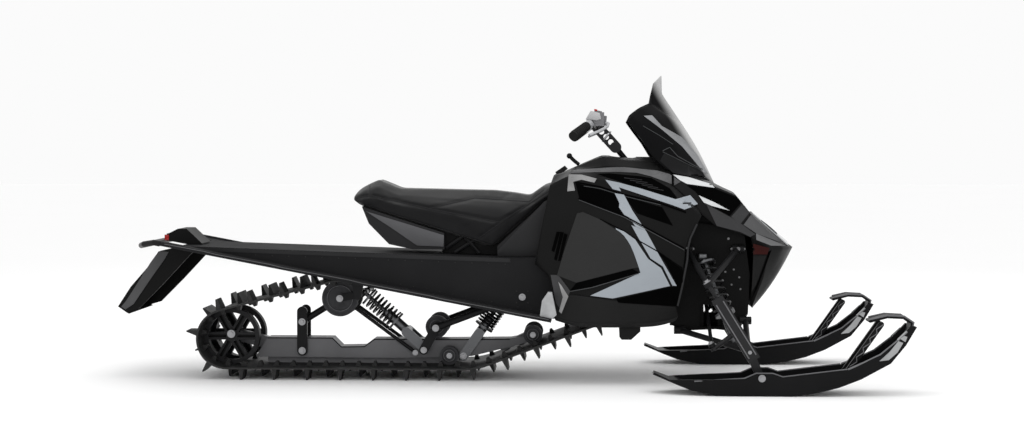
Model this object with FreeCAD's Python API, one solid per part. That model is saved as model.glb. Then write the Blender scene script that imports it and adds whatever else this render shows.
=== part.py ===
import FreeCAD, Part
import math
import os

V = FreeCAD.Vector

# Frame: +X towards the ski tips, +Y to the rider's left, +Z up, millimetres.
# The origin lies on the ground, halfway along the whole length and on the middle plane.

# Whole vehicle
seat_gap = 0.3
running_gap = 0.06

# Track: one endless belt with cross lugs outside and drive lugs inside
track_pitch = 64.0
track_width = 381.0
belt_thickness = 7.0
lug_height = 41.0
lug_root_thickness = 22.0
lug_tip_thickness = 5.0
lug_edge_inset = 6.0
outer_lug_width = 84.0
centre_lug_width = 150.0
drive_lug_height = 18.0
drive_lug_length = 26.0
drive_lug_width = 30.0
drive_lug_place = 110.0
rear_axle_setback = 86.0
top_idler_x = -651.0
top_idler_z = 308.0
ramp_setback = 192.0
ramp_angle = 20.4
ramp_bend_radius = 300.0
sprocket_x = 445.4
sprocket_z = 339.9
sprocket_pitch_radius = 81.5

# Wheels inside the track
wheel_place = 66.0
rear_wheel_radius = 110.0
rear_wheel_width = 34.0
rear_rim_depth = 17.0
hub_radius = 22.0
spoke_count = 6
spoke_rib_width = 9.0
spoke_rib_pitch = 20.0
web_thickness = 8.0
top_idler_radius = 71.5
idler_width = 28.0
mid_idler_radius = 44.0
mid_idler_x = -272.0
mid_idler_z = 198.0
low_idler_radius = 37.0
low_idler_x = -223.0
front_idler_radius = 37.0
front_idler_reach = 26.0
axle_radius = 10.0
sprocket_width = 30.0
drive_axle_radius = 13.0

# Single centre beam of the rear suspension
beam_rear_x = -992.0
beam_length = 1069.0
beam_base_z = 68.0
beam_height = 92.0
beam_half_width = 38.0
runner_half_width = 20.0
axle_carrier_half_width = 18.0

# Arms, rods and links of the rear suspension
link_x = -806.0
link_half_width = 20.0
link_thickness = 10.0
link_top_z = 252.0
link_bottom_z = 98.0
arm_pivot_z = 212.0
arm_tube_radius = 13.0
arm_place = 20.0
hanger_x = -565.0
hanger_z = 325.0
hanger_thickness = 3.0
hanger_half_width = 34.0
strap_width = 26.0
strap_thickness = 8.0
bracket_plate_y = 90.0
bracket_width = 36.4
idler_plate_thickness = 7.0
rear_foot_x = -322.0
rear_foot_z = 108.0
rod_radius = 7.0
rod_foot_x = -358.0
rod_foot_z = 94.0
front_pivot_x = 66.0
front_pivot_z = 326.0
front_arm_radius = 13.0
front_cross_radius = 15.0
front_arm_place = 118.0
front_foot_x = -171.0
front_foot_z = 80.0
front_shock_share = 0.74

# Dampers with coil springs
damper_radius = 19.0
damper_rod_radius = 8.0
spring_radius = 30.0
spring_wire_radius = 4.5
spring_turns = 7
spring_sides = 6
spring_steps = 12
damper_eye_radius = 14.0
damper_eye_width = 26.0
damper_body_share = 0.50
ski_damper_body_share = 0.55
spring_start_share = 0.09
rear_damper_end_share = 0.70
rear_spring_end_share = 0.72
centre_damper_end_share = 0.58
centre_spring_end_share = 0.78
ski_spring_end_share = 0.66

# Tunnel, running boards and rear end
tunnel_half_width = 200.0
tunnel_wall = 3.0
tunnel_rear_x = -1256.0
tunnel_side_rear_x = -1205.0
tunnel_skirt = 8.0
tunnel_rear_z = 518.0
tunnel_waist_x = 42.0
tunnel_waist_z = 474.0
tunnel_front_x = 630.0
tunnel_front_z = 492.0
board_front_x = 180.0
board_front_z = 251.0
board_rear_x = -1300.0
board_rear_z = 533.0
board_front_half_width = 350.0
board_rear_half_width = 318.0
board_thickness = 4.0
board_edge_radius = 8.0
board_slot_count = 13
board_slot_length = 70.0
board_slot_pitch = 96.0
board_slot_share = 0.46
bumper_radius = 11.0
bumper_rear_x = -1392.0
bumper_rear_z = 522.0
bumper_half_width = 235.0
rack_hole_radius = 4.25
rack_spacing_x = 200.0
rack_spacing_y = 240.0
rack_centre_x = -1060.0
flap_half_width = 182.0
flap_wall = 8.0
flap_reach = 244.0
flap_length = 316.0
flap_height = 240.0
flap_base_z = 258.0
lamp_rear_x = -1345.0
lamp_length = 150.0
lamp_height = 60.0
lamp_half_width = 75.0
lamp_lens_depth = 12.0
toe_hold_x = 136.0
toe_hold_length = 63.0
toe_hold_base_z = 251.0
toe_hold_height = 104.0
toe_hold_inner = 300.0
toe_hold_outer = 340.0

# Seat, tank and engine
seat_rear_x = -606.0
seat_length = 793.0
seat_base_z = 503.0
seat_height = 276.0
seat_half_width = 130.0
seat_pan_base_z = 502.0
seat_pan_half_width = 112.0
tank_half_width = 146.0
tank_rear_x = -32.0
tank_front_x = 285.0
tank_top_z = 800.0
tank_neck_z = 766.0
engine_rear_x = 305.0
engine_length = 250.0
engine_height = 185.0
engine_half_width = 165.0
engine_lift = 8.0

# Bodywork: its points are shares of this box
body_rear_x = 115.0
body_length = 1000.0
body_half_width = 320.0
body_base_z = 210.0
body_height = 700.0
body_wall = 3.0
belly_lug_rear_x = 434.0
belly_lug_length = 81.0
belly_lug_base_z = 169.0
belly_lug_height = 49.5
belly_lug_inner = 210.0
belly_lug_outer = 244.0
panel_gap = 1.2
nose_inside_share = 0.8
seam_gap = 4.0
windshield_wall = 4.0
windshield_place_shares = (0.352, 0.794286)
windshield_size_shares = (0.343, 0.51875, 0.585714)
headlamp_wall = 4.0
headlamp_edge = 3.0
headlamp_outer = 58.0
headlamp_rear_share = 0.837
headlamp_length_share = 0.14

# Front frame
bulkhead_x = 631.0
bulkhead_thickness = 8.0
bulkhead_half_width = 204.0
bulkhead_base_z = 226.0
bulkhead_top_z = 596.0
frame_front_x = 935.0
frame_half_width = 145.0
frame_wall = 6.0
frame_base_z = 195.0
frame_top_z = 522.0

# Steering geometry
king_pin_angle = 31.5
king_pin_trail = 7.0
king_pin_foot_z = 79.0
king_pin_place = 409.0
ski_place = 456.0
upper_joint_z = 392.0
lower_joint_z = 148.0
joint_ring_radius = 16.0
joint_ring_length = 16.0
joint_stud_radius = 7.0
boss_radius = 12.0
boss_setback = 18.0
steering_arm_length = 104.0
steering_arm_z = 224.0
steering_arm_radius = 9.0
column_angle = 39.3
column_top_x = 445.0
column_top_z = 872.0
column_radius = 11.0
bearing_radius = 20.8
bearing_length = 41.6
post_opening_radius = 39.0
pitman_z = 355.8
pitman_width = 22.0
pitman_thickness = 6.0
pitman_pin_radius = 5.0
tie_rod_radius = 7.0
tie_rod_spread = 17.0
tie_rod_eye_radius = 13.0
tie_rod_eye_length = 10.0
tie_rod_play = 3.0

# Spindles and suspension arms
spindle_top_z = 346.0
spindle_bottom_z = 122.0
spindle_width = 46.0
spindle_thickness = 34.0
spindle_foot_width = 30.0
spindle_foot_thickness = 24.0
ski_bolt_share = 0.41077
ski_bolt_z = 65.0
ski_bolt_radius = 8.0
arm_radius = 11.0
upper_arm_rear_x = 694.0
upper_arm_front_x = 888.0
upper_arm_z = 510.0
lower_arm_rear_x = 668.0
lower_arm_rear_z = 198.0
lower_arm_front_x = 918.0
lower_arm_front_z = 236.0
shock_top_x = 752.0
shock_top_y = 196.0
shock_top_z = 480.0
shock_foot_share = 0.67
ear_half_height = 10.0

# Skis
ski_rear_x = 553.0
ski_length = 947.0
ski_handle_share = 0.42
ski_strut_share = 0.65
ski_height = 249.0
ski_half_width = 89.0
ski_floor = 14.0
ski_wall = 13.0
ski_handle_radius = 10.0

# Handlebar
bar_radius = 11.0
bar_centre_x = 350.0
bar_centre_z = 979.0
grip_radius = 17.0
grip_length = 128.0
riser_width = 44.0
riser_place = 30.0
riser_thickness = 8.0
bar_half_width = 350.0
bar_sweep = 88.0
bar_rise = 39.0
pod_width = 46.0
pod_height = 52.0

# Places that follow the sizes above
beam_front_x = beam_rear_x + beam_length
rear_axle_x = beam_rear_x - rear_axle_setback
ramp_corner_x = beam_front_x - ramp_setback
front_idler_x = beam_front_x + front_idler_reach
windshield_rear_x = body_rear_x + body_length * windshield_place_shares[0]
windshield_base_z = body_base_z + body_height * windshield_place_shares[1]
windshield_length = body_length * windshield_size_shares[0]
windshield_half_width = body_half_width * windshield_size_shares[1]
windshield_height = body_height * windshield_size_shares[2]
ski_bolt_x = ski_rear_x + ski_length * ski_bolt_share
king_pin_foot_x = ski_bolt_x + king_pin_trail

# Shares of each piece's own box, as (along, up) or (along, across, up)
beam_shares = [(0.0, 0.05), (0.045, 0.89), (0.285, 0.89), (0.318, 0.51), (0.404, 0.53), (0.440, 0.85),
               (0.739, 0.85), (0.940, 0.88), (1.0, 1.0), (1.0, 0.70), (0.800, 0.12), (0.534, 0.02)]
flap_shares = [(0.98, 1.055), (0.772, 1.066), (0.525, 1.0), (0.40, 0.78), (0.16, 0.42), (0.0, 0.10),
               (0.11, 0.0), (0.25, 0.055), (0.55, 0.45)]
lamp_shares = [(0.0, 0.27), (0.06, 0.62), (0.36, 1.0), (0.60, 1.0), (1.0, 0.06), (1.0, 0.0), (0.60, 0.0)]
seat_stations_shares = [
    (0.000, 0.680, 0.757, 0.55),
    (0.058, 0.598, 0.877, 0.89),
    (0.137, 0.525, 0.971, 0.98),
    (0.241, 0.428, 0.844, 1.00),
    (0.462, 0.228, 0.830, 1.00),
    (0.704, 0.000, 0.815, 0.98),
    (0.802, 0.264, 0.783, 0.92),
    (0.878, 0.464, 0.746, 0.88),
    (1.000, 0.793, 1.000, 0.83),
]
seat_ring_shares = [(0.0, 0.0), (0.93, 0.02), (1.0, 0.42), (0.88, 0.82), (0.52, 1.0), (0.0, 1.0)]
seat_pan_shares = [(0.085, 0.60), (0.33, 0.12), (0.62, 0.0), (1.0, 0.0)]
toe_hold_shares = [(0.49, 1.0), (0.73, 0.99), (1.0, 0.19), (0.67, 0.008), (0.0, 0.086), (0.14, 0.69)]
engine_shares = [(0.0, 0.0), (0.0, 0.75), (0.25, 1.0), (0.95, 1.0), (1.0, 0.35), (0.92, 0.0)]
frame_side_shares = [(0.0, 0.06), (0.0, 1.22), (0.36, 1.26), (0.92, 1.19), (1.0, 0.66), (0.98, 0.20),
                     (0.88, 0.03), (0.20, 0.0)]
frame_window_shares = [(0.36, 0.045), (0.36, 0.30), (0.43, 0.355), (0.58, 0.355), (0.65, 0.30), (0.65, 0.045)]
ski_shares = [(0.0, 0.277), (0.143, 0.076), (0.239, 0.008), (0.30, 0.0), (0.52, 0.0), (0.622, 0.056),
              (0.702, 0.129), (0.786, 0.249), (0.899, 0.478), (0.958, 0.739), (1.0, 1.0), (0.975, 1.02),
              (0.925, 0.80), (0.86, 0.60), (0.732, 0.39), (0.49, 0.275), (0.452, 0.325), (0.39, 0.325),
              (0.346, 0.253), (0.063, 0.217), (0.005, 0.31)]
ski_plan_shares = [(0.0, 0.30), (0.09, 0.78), (0.22, 1.0), (0.66, 1.0), (0.90, 0.80), (1.03, 0.52)]
ski_handle_shares = [(0.975, 0.90), (0.985, 1.05), (0.955, 1.13), (0.890, 1.14), (0.826, 1.075)]
ski_strut_shares = [(0.727, 0.260), (0.868, 1.03)]
bar_shares = [(0.0, 0.20, 0.0), (0.045, 0.43, 0.64), (-0.318, 0.614, 0.154), (-1.0, 1.0, -1.0)]
side_panel_shares = [
    [(0.071, 0.469, 0.831), (0.147, 0.500, 0.860), (0.265, 0.547, 0.877), (0.371, 0.578, 0.877),
     (0.459, 0.594, 0.853), (0.525, 0.613, 0.771), (0.594, 0.650, 0.680), (0.625, 0.694, 0.636)],
    [(0.057, 0.703, 0.774), (0.121, 0.750, 0.823), (0.255, 0.806, 0.811), (0.345, 0.831, 0.789),
     (0.436, 0.850, 0.743), (0.529, 0.869, 0.689), (0.589, 0.863, 0.666), (0.627, 0.819, 0.614)],
    [(0.033, 0.750, 0.600), (0.135, 0.819, 0.707), (0.245, 0.863, 0.700), (0.335, 0.887, 0.671),
     (0.430, 0.906, 0.629), (0.525, 0.912, 0.571), (0.585, 0.900, 0.557), (0.613, 0.863, 0.574)],
    [(0.000, 0.781, 0.350), (0.125, 0.900, 0.557), (0.229, 0.944, 0.521), (0.322, 0.963, 0.500),
     (0.405, 0.975, 0.479), (0.495, 0.956, 0.443), (0.547, 0.938, 0.426), (0.565, 0.906, 0.436)],
    [(0.050, 0.838, 0.293), (0.115, 0.931, 0.300), (0.205, 0.969, 0.293), (0.300, 0.988, 0.289),
     (0.393, 0.994, 0.286), (0.475, 0.975, 0.279), (0.535, 0.950, 0.286), (0.556, 0.931, 0.301)],
    [(0.072, 0.906, 0.200), (0.129, 0.956, 0.196), (0.215, 0.978, 0.181), (0.289, 0.988, 0.167),
     (0.365, 0.984, 0.154), (0.445, 0.966, 0.141), (0.505, 0.944, 0.133), (0.531, 0.931, 0.129)],
]
belly_shares = [
    [(0.072, 0.887, 0.074), (0.135, 0.925, 0.043), (0.215, 0.944, 0.037), (0.289, 0.950, 0.037),
     (0.365, 0.944, 0.039), (0.452, 0.919, 0.043), (0.510, 0.894, 0.057), (0.540, 0.869, 0.074)],
    [(0.080, 0.819, 0.046), (0.156, 0.831, 0.013), (0.215, 0.838, 0.010), (0.289, 0.844, 0.010),
     (0.365, 0.838, 0.011), (0.452, 0.819, 0.014), (0.505, 0.794, 0.031), (0.533, 0.775, 0.047)],
    [(0.080, 0.642, 0.046), (0.156, 0.642, 0.013), (0.215, 0.642, 0.010), (0.289, 0.642, 0.010),
     (0.365, 0.642, 0.011), (0.452, 0.642, 0.014), (0.505, 0.642, 0.031), (0.533, 0.642, 0.047)],
]
belly_lug_shares = [(0.0, 1.0), (0.03, 0.20), (0.13, 0.0), (0.57, 0.0), (1.0, 0.64), (1.0, 1.0)]
console_shares = [
    [(0.072, 0.344, 0.823), (0.147, 0.369, 0.874), (0.257, 0.391, 0.931), (0.355, 0.406, 0.911),
     (0.459, 0.422, 0.897), (0.522, 0.438, 0.860)],
    [(0.072, 0.000, 0.816), (0.147, 0.000, 0.874), (0.250, 0.000, 0.940), (0.351, 0.000, 0.931),
     (0.450, 0.000, 0.929), (0.522, 0.000, 0.937)],
]
hood_shares = [
    [(0.526, 0.611, 0.773), (0.5945, 0.648, 0.6822), (0.627, 0.692, 0.625), (0.685, 0.669, 0.557),
     (0.766, 0.637, 0.524), (0.820, 0.594, 0.494)],
    [(0.526, 0.438, 0.860), (0.595, 0.475, 0.809), (0.627, 0.494, 0.791), (0.685, 0.487, 0.769),
     (0.765, 0.469, 0.720), (0.817, 0.438, 0.629)],
    [(0.526, 0.250, 0.914), (0.595, 0.263, 0.860), (0.627, 0.263, 0.831), (0.685, 0.256, 0.781),
     (0.765, 0.244, 0.731), (0.823, 0.225, 0.629)],
    [(0.526, 0.000, 0.937), (0.595, 0.000, 0.883), (0.627, 0.000, 0.851), (0.688, 0.000, 0.786),
     (0.767, 0.000, 0.736), (0.829, 0.000, 0.629)],
]
nose_shares = [
    [(0.822, 0.556, 0.468), (0.821, 0.594, 0.493), (0.818, 0.438, 0.628), (0.824, 0.225, 0.628),
     (0.830, 0.000, 0.628)],
    [(0.830, 0.530, 0.432), (0.885, 0.562, 0.444), (0.947, 0.388, 0.431), (0.981, 0.200, 0.429),
     (1.000, 0.000, 0.427)],
    [(0.829, 0.494, 0.272), (0.870, 0.516, 0.274), (0.905, 0.350, 0.266), (0.930, 0.175, 0.260),
     (0.942, 0.000, 0.259)],
    [(0.826, 0.450, 0.184), (0.843, 0.463, 0.171), (0.861, 0.312, 0.154), (0.875, 0.156, 0.146),
     (0.880, 0.000, 0.143)],
    [(0.824, 0.400, 0.124), (0.831, 0.406, 0.107), (0.835, 0.281, 0.096), (0.840, 0.141, 0.090),
     (0.842, 0.000, 0.089)],
]
windshield_shares = [
    [(0.268, 0.964, 0.235), (0.423, 0.970, 0.115), (0.650, 0.855, 0.050), (0.878, 0.518, 0.000),
     (1.0, 0.0, -0.03)],
    [(0.178, 1.000, 0.363), (0.315, 0.964, 0.346), (0.539, 0.795, 0.332), (0.726, 0.470, 0.307),
     (0.816, 0.0, 0.307)],
    [(0.073, 0.982, 0.478), (0.190, 0.904, 0.527), (0.364, 0.687, 0.566), (0.522, 0.373, 0.576),
     (0.601, 0.0, 0.576)],
    [(0.000, 0.916, 0.566), (0.038, 0.831, 0.634), (0.131, 0.651, 0.693), (0.259, 0.325, 0.741),
     (0.399, 0.0, 0.829)],
]
windshield_fin_shares = [(0.275, 0.240, 0.810), (0.310, 0.190, 0.930), (0.394, 0.0, 1.0)]


# Helpers
def save(name, shape):
    os.makedirs("parts", exist_ok=True)
    shape.exportStep("parts/" + name + ".step")


def mirrored(shape):
    return shape.mirror(V(0, 0, 0), V(0, 1, 0))


def fused(shapes):
    first = shapes[0]
    if len(shapes) == 1:
        return first
    return first.multiFuse(shapes[1:]).removeSplitter()


def side_prism(outline, y_low, y_high):
    """Extrude an outline of (x, z) points across the vehicle."""
    points = [V(x, y_low, z) for x, z in outline]
    face = Part.Face(Part.makePolygon(points + points[:1]))
    return face.extrude(V(0, y_high - y_low, 0))


def box_outline(shares, x0, z0, length, height):
    return [(x0 + length * a, z0 + height * b) for a, b in shares]


def rod(start, end, radius):
    return Part.makeCylinder(radius, (end - start).Length, start, end - start)


def cross_rod(x, z, radius, y_low, y_high):
    return Part.makeCylinder(radius, y_high - y_low, V(x, y_low, z), V(0, 1, 0))


def ring_on(centre, axis, outer, length):
    """Round block of a given length with its middle at a point of its axis."""
    return Part.makeCylinder(outer, length, centre - axis * (length / 2), axis)


def bent_rod(points, radius):
    """Round bar through points, with a ball at each bend."""
    pieces = [rod(a, b, radius) for a, b in zip(points, points[1:])]
    pieces += [Part.makeSphere(radius, p) for p in points[1:-1]]
    return fused(pieces)


def strap(start, end, width, y_low, y_high):
    """Flat bar with round ends between two (x, z) points."""
    a = V(start[0], 0, start[1])
    b = V(end[0], 0, end[1])
    side = (b - a).normalize().cross(V(0, 1, 0)) * (width / 2)
    corners = [a + side, b + side, b - side, a - side]
    bar = side_prism([(p.x, p.z) for p in corners], y_low, y_high)
    ends = [cross_rod(p.x, p.z, width / 2, y_low, y_high) for p in (a, b)]
    return fused([bar] + ends)


def triangle(a, b, c):
    return Part.Face(Part.makePolygon([a, b, c, a]))


def closed_solid(faces):
    shell = Part.Shell(faces)
    shell.sewShape()
    solid = Part.Solid(shell)
    if solid.Volume < 0:
        solid.reverse()
    return solid


def shell_panel(points, cells, wall, inside):
    """Thin panel: outer facets, the same facets moved inwards by the wall, and a rim.

    points are the outer corners, cells are index triples, and inside is a point that the
    panel bulges away from.
    """
    normals = [V(0, 0, 0) for p in points]
    centre = V(*inside)
    oriented = []
    for i, j, k in cells:
        n = (points[j] - points[i]).cross(points[k] - points[i])
        if n.dot(points[i] - centre) < 0:
            n = n * -1
            i, j = j, i
        oriented.append((i, j, k))
        for m in (i, j, k):
            normals[m] = normals[m] + n
    inner = [p - n.normalize() * wall for p, n in zip(points, normals)]
    faces = []
    edges = {}
    for i, j, k in oriented:
        faces.append(triangle(points[i], points[j], points[k]))
        faces.append(triangle(inner[i], inner[k], inner[j]))
        for a, b in ((i, j), (j, k), (k, i)):
            edges[(a, b)] = edges.get((a, b), 0) + 1
    for a, b in edges:
        if (b, a) not in edges:
            faces.append(triangle(points[a], inner[a], points[b]))
            faces.append(triangle(points[b], inner[a], inner[b]))
    return closed_solid(faces)


def grid_cells(rows, columns, turn_row=None, turn_column=None):
    """Triangles of a grid, whose diagonals turn past a row or column so that both sides mirror."""
    cells = []
    for r in range(rows - 1):
        for c in range(columns - 1):
            a = r * columns + c
            below = a + columns
            past_row = turn_row is not None and r >= turn_row
            past_column = turn_column is not None and c >= turn_column
            if past_row or past_column:
                cells += [(a, a + 1, below + 1), (a, below + 1, below)]
            else:
                cells += [(a, a + 1, below), (a + 1, below + 1, below)]
    return cells


def ring_solid(rings):
    """Closed solid skinned over rings of points, with flat ends fanned from the middle."""
    count = len(rings[0])
    faces = []
    for low, high in zip(rings, rings[1:]):
        for i in range(count):
            j = (i + 1) % count
            faces.append(triangle(low[i], low[j], high[i]))
            faces.append(triangle(low[j], high[j], high[i]))
    for ring in (rings[0], rings[-1]):
        middle = V(0, 0, 0)
        for p in ring:
            middle = middle + p * (1 / count)
        for i in range(count):
            faces.append(triangle(ring[i], ring[(i + 1) % count], middle))
    return closed_solid(faces)


def body_point(share, side=1):
    return V(body_rear_x + body_length * share[0], side * body_half_width * share[1],
             body_base_z + body_height * share[2])


def full_rows(rows):
    """Rows from the left edge over the middle to the right edge, from rows that end at the middle."""
    result = []
    for row in rows:
        result.append([body_point(s) for s in row])
    for row in reversed(rows[:-1]):
        result.append([body_point(s, -1) for s in row])
    return result


def panel_from_rows(rows, wall, inside, turn_row=None, turn_column=None):
    points = [p for row in rows for p in row]
    return shell_panel(points, grid_cells(len(rows), len(rows[0]), turn_row, turn_column), wall, inside)


# Track path: straight runs that touch four rollers, measured on the belt's middle line
def track_rollers():
    half = belt_thickness / 2
    belt_z = lug_height + half
    rear = (rear_axle_x, belt_z + half + rear_wheel_radius, rear_wheel_radius + half)
    bend_x = ramp_corner_x - ramp_bend_radius * math.tan(math.radians(ramp_angle / 2))
    bend = (bend_x, belt_z + ramp_bend_radius, ramp_bend_radius)
    sprocket = (sprocket_x, sprocket_z, sprocket_pitch_radius)
    top = (top_idler_x, top_idler_z, top_idler_radius + half)
    return [rear, bend, sprocket, top]


def run_direction(a, b):
    """Direction angle of the outer tangent from roller a to roller b, rollers on the left."""
    distance = math.hypot(b[0] - a[0], b[1] - a[1])
    return math.atan2(b[1] - a[1], b[0] - a[0]) + math.asin((a[2] - b[2]) / distance)


def touch_point(roller, angle, offset=0.0):
    radius = roller[2] + offset
    return V(roller[0] + radius * math.sin(angle), 0, roller[1] - radius * math.cos(angle))


def path_angles(rollers):
    count = len(rollers)
    return [run_direction(rollers[i], rollers[(i + 1) % count]) for i in range(count)]


def track_wire(offset):
    rollers = track_rollers()
    angles = path_angles(rollers)
    edges = []
    count = len(rollers)
    for i in range(count):
        before = angles[i - 1]
        turn = (angles[i] - before) % (2 * math.pi)
        start = touch_point(rollers[i], before, offset)
        middle = touch_point(rollers[i], before + turn / 2, offset)
        end = touch_point(rollers[i], before + turn, offset)
        edges.append(Part.Arc(start, middle, end).toShape())
        after = touch_point(rollers[(i + 1) % count], angles[i], offset)
        edges.append(Part.LineSegment(end, after).toShape())
    return Part.Wire(edges)


def track_stations():
    """Place, travel direction and spacing of each bar, evenly spaced along the middle line."""
    rollers = track_rollers()
    angles = path_angles(rollers)
    count = len(rollers)
    pieces = []
    total = 0
    for i in range(count):
        before = angles[i - 1]
        turn = (angles[i] - before) % (2 * math.pi)
        arc = turn * rollers[i][2]
        end = touch_point(rollers[i], before + turn)
        after = touch_point(rollers[(i + 1) % count], angles[i])
        run = (after - end).Length
        pieces.append((rollers[i], before, turn, arc, end, run))
        total += arc + run
    bars = 2 * round(total / track_pitch / 2)
    step = total / bars
    result = []
    for n in range(bars):
        s = n * step
        for roller, before, turn, arc, end, run in pieces:
            if s <= arc:
                angle = before + s / roller[2]
                result.append((touch_point(roller, angle), angle))
                break
            if s <= arc + run:
                angle = before + turn
                along = V(math.cos(angle), 0, math.sin(angle))
                result.append((end + along * (s - arc), angle))
                break
            s -= arc + run
    return result


def cross_wedge(place, angle, root, tip, height, y_low, y_high):
    """Tapered bar across the belt, standing out by height along the belt's outer side."""
    along = V(math.cos(angle), 0, math.sin(angle))
    out = V(math.sin(angle), 0, -math.cos(angle))
    top = place + out * height
    corners = [place + along * (root / 2), top + along * (tip / 2),
               top - along * (tip / 2), place - along * (root / 2)]
    return side_prism([(p.x, p.z) for p in corners], y_low, y_high)


def make_track():
    half = belt_thickness / 2
    outer = Part.Face(track_wire(half))
    inner = Part.Face(track_wire(-half))
    belt = outer.cut(inner).extrude(V(0, track_width, 0))
    belt.translate(V(0, -track_width / 2, 0))
    lugs = []
    reach = half + lug_height
    edge = track_width / 2 - lug_edge_inset
    for n, (place, angle) in enumerate(track_stations()):
        if n % 2:
            spans = [(-centre_lug_width / 2, centre_lug_width / 2)]
        else:
            spans = [(-edge, outer_lug_width - edge), (edge - outer_lug_width, edge)]
        for low, high in spans:
            lugs.append(cross_wedge(place, angle, lug_root_thickness, lug_tip_thickness, reach, low, high))
        for side in (-1, 1):
            middle = side * drive_lug_place
            lugs.append(cross_wedge(place, angle, drive_lug_length, drive_lug_length / 3,
                                    -half - drive_lug_height, middle - drive_lug_width / 2,
                                    middle + drive_lug_width / 2))
    return belt.multiFuse(lugs)


# Wheels
def disc_wheel(x, z, radius, width, side):
    y_middle = side * wheel_place
    low = y_middle - width / 2
    wheel = cross_rod(x, z, radius, low, low + width)
    ring = cross_rod(x, z, radius - web_thickness, low + width - web_thickness / 2, low + width)
    hub = cross_rod(x, z, hub_radius, low, low + width)
    groove = ring.cut(hub)
    other = groove.copy()
    other.translate(V(0, web_thickness / 2 - width, 0))
    return wheel.cut(groove).cut(other)


def idler_pair(x, z, radius, axle_reach):
    wheels = [disc_wheel(x, z, radius, idler_width, side) for side in (-1, 1)]
    axle = cross_rod(x, z, axle_radius, -axle_reach, axle_reach)
    return fused(wheels + [axle])


def spoked_wheel(x, z, side):
    y_middle = side * wheel_place
    low = y_middle - rear_wheel_width / 2
    high = y_middle + rear_wheel_width / 2
    radius = rear_wheel_radius - seat_gap
    rim = cross_rod(x, z, radius, low, high).cut(cross_rod(x, z, radius - rear_rim_depth, low, high))
    hub = cross_rod(x, z, hub_radius, low, high)
    pieces = [rim, hub]
    for n in range(spoke_count):
        angle = n * 360 / spoke_count
        for place in (-spoke_rib_pitch / 2, spoke_rib_pitch / 2):
            rib = Part.makeBox(radius - rear_rim_depth / 2, rear_wheel_width - web_thickness, spoke_rib_width)
            rib.translate(V(x, low + web_thickness / 2, z + place - spoke_rib_width / 2))
            rib.rotate(V(x, 0, z), V(0, 1, 0), angle)
            pieces.append(rib)
    return fused(pieces)


# Dampers
def spring_coil(start, end, radius, turns):
    """Coil spring whose wire has flat-sided sections, between two points."""
    axis = end - start
    length = axis.Length
    axis = axis * (1 / length)
    across = axis.cross(V(0, 1, 0)).normalize()
    other = axis.cross(across)
    rings = []
    steps = turns * spring_steps
    climb = (length - 2 * spring_wire_radius) / steps
    for n in range(steps + 1):
        angle = 2 * math.pi * n / spring_steps
        out = across * math.cos(angle) + other * math.sin(angle)
        centre = start + axis * (spring_wire_radius + climb * n) + out * radius
        ring = []
        for k in range(spring_sides):
            turn = 2 * math.pi * k / spring_sides
            ring.append(centre + out * (spring_wire_radius * math.cos(turn))
                        + axis * (spring_wire_radius * math.sin(turn)))
        rings.append(ring)
    return ring_solid(rings)


def coil_over(top, foot, spring_start_share, spring_end_share, body_share, eye_axes):
    """Damper between two eyes: a rod from the top, a body from the foot, and collars for the spring."""
    axis = foot - top
    along = V(axis.x, axis.y, axis.z).normalize()
    body_start = top + axis * body_share
    body = rod(body_start, foot, damper_radius)
    shaft = rod(top, body_start, damper_rod_radius)
    pieces = [body, shaft]
    collar = damper_rod_radius
    coil_start = top + axis * spring_start_share
    coil_end = top + axis * spring_end_share
    outer = spring_radius + 2 * spring_wire_radius
    pieces.append(rod(coil_start - along * collar, coil_start, outer))
    pieces.append(rod(coil_end, coil_end + along * collar, outer))
    for p, eye_axis in zip((top, foot), eye_axes):
        pieces.append(ring_on(p, eye_axis, damper_eye_radius, damper_eye_width))
    spring = spring_coil(coil_start + along * seat_gap, coil_end - along * seat_gap,
                         spring_radius + spring_wire_radius, spring_turns)
    return fused(pieces), spring


def on_axis(foot_x, foot_z, angle, z):
    """Point at height z of an axis in the middle plane that leans back by angle."""
    return V(foot_x - (z - foot_z) * math.tan(math.radians(angle)), 0, z)


def lean(angle):
    return V(-math.sin(math.radians(angle)), 0, math.cos(math.radians(angle)))


def lean_back(angle):
    """Direction square to a leaning axis, pointing down and to the rear."""
    return V(-math.cos(math.radians(angle)), 0, -math.sin(math.radians(angle)))


# Rear track and its suspension
track = make_track()
save("track", track)

rear_axle_z = lug_height + belt_thickness + rear_wheel_radius
rear_wheels = [spoked_wheel(rear_axle_x, rear_axle_z, side) for side in (-1, 1)]

rear_axle_reach = wheel_place + rear_wheel_width / 2 + web_thickness
low_idler_z = lug_height + belt_thickness + low_idler_radius
ramp = math.radians(ramp_angle)
ramp_inner_z = lug_height + belt_thickness + (front_idler_x - ramp_corner_x) * math.tan(ramp)
front_idler_z = ramp_inner_z + front_idler_radius / math.cos(ramp)

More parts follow.
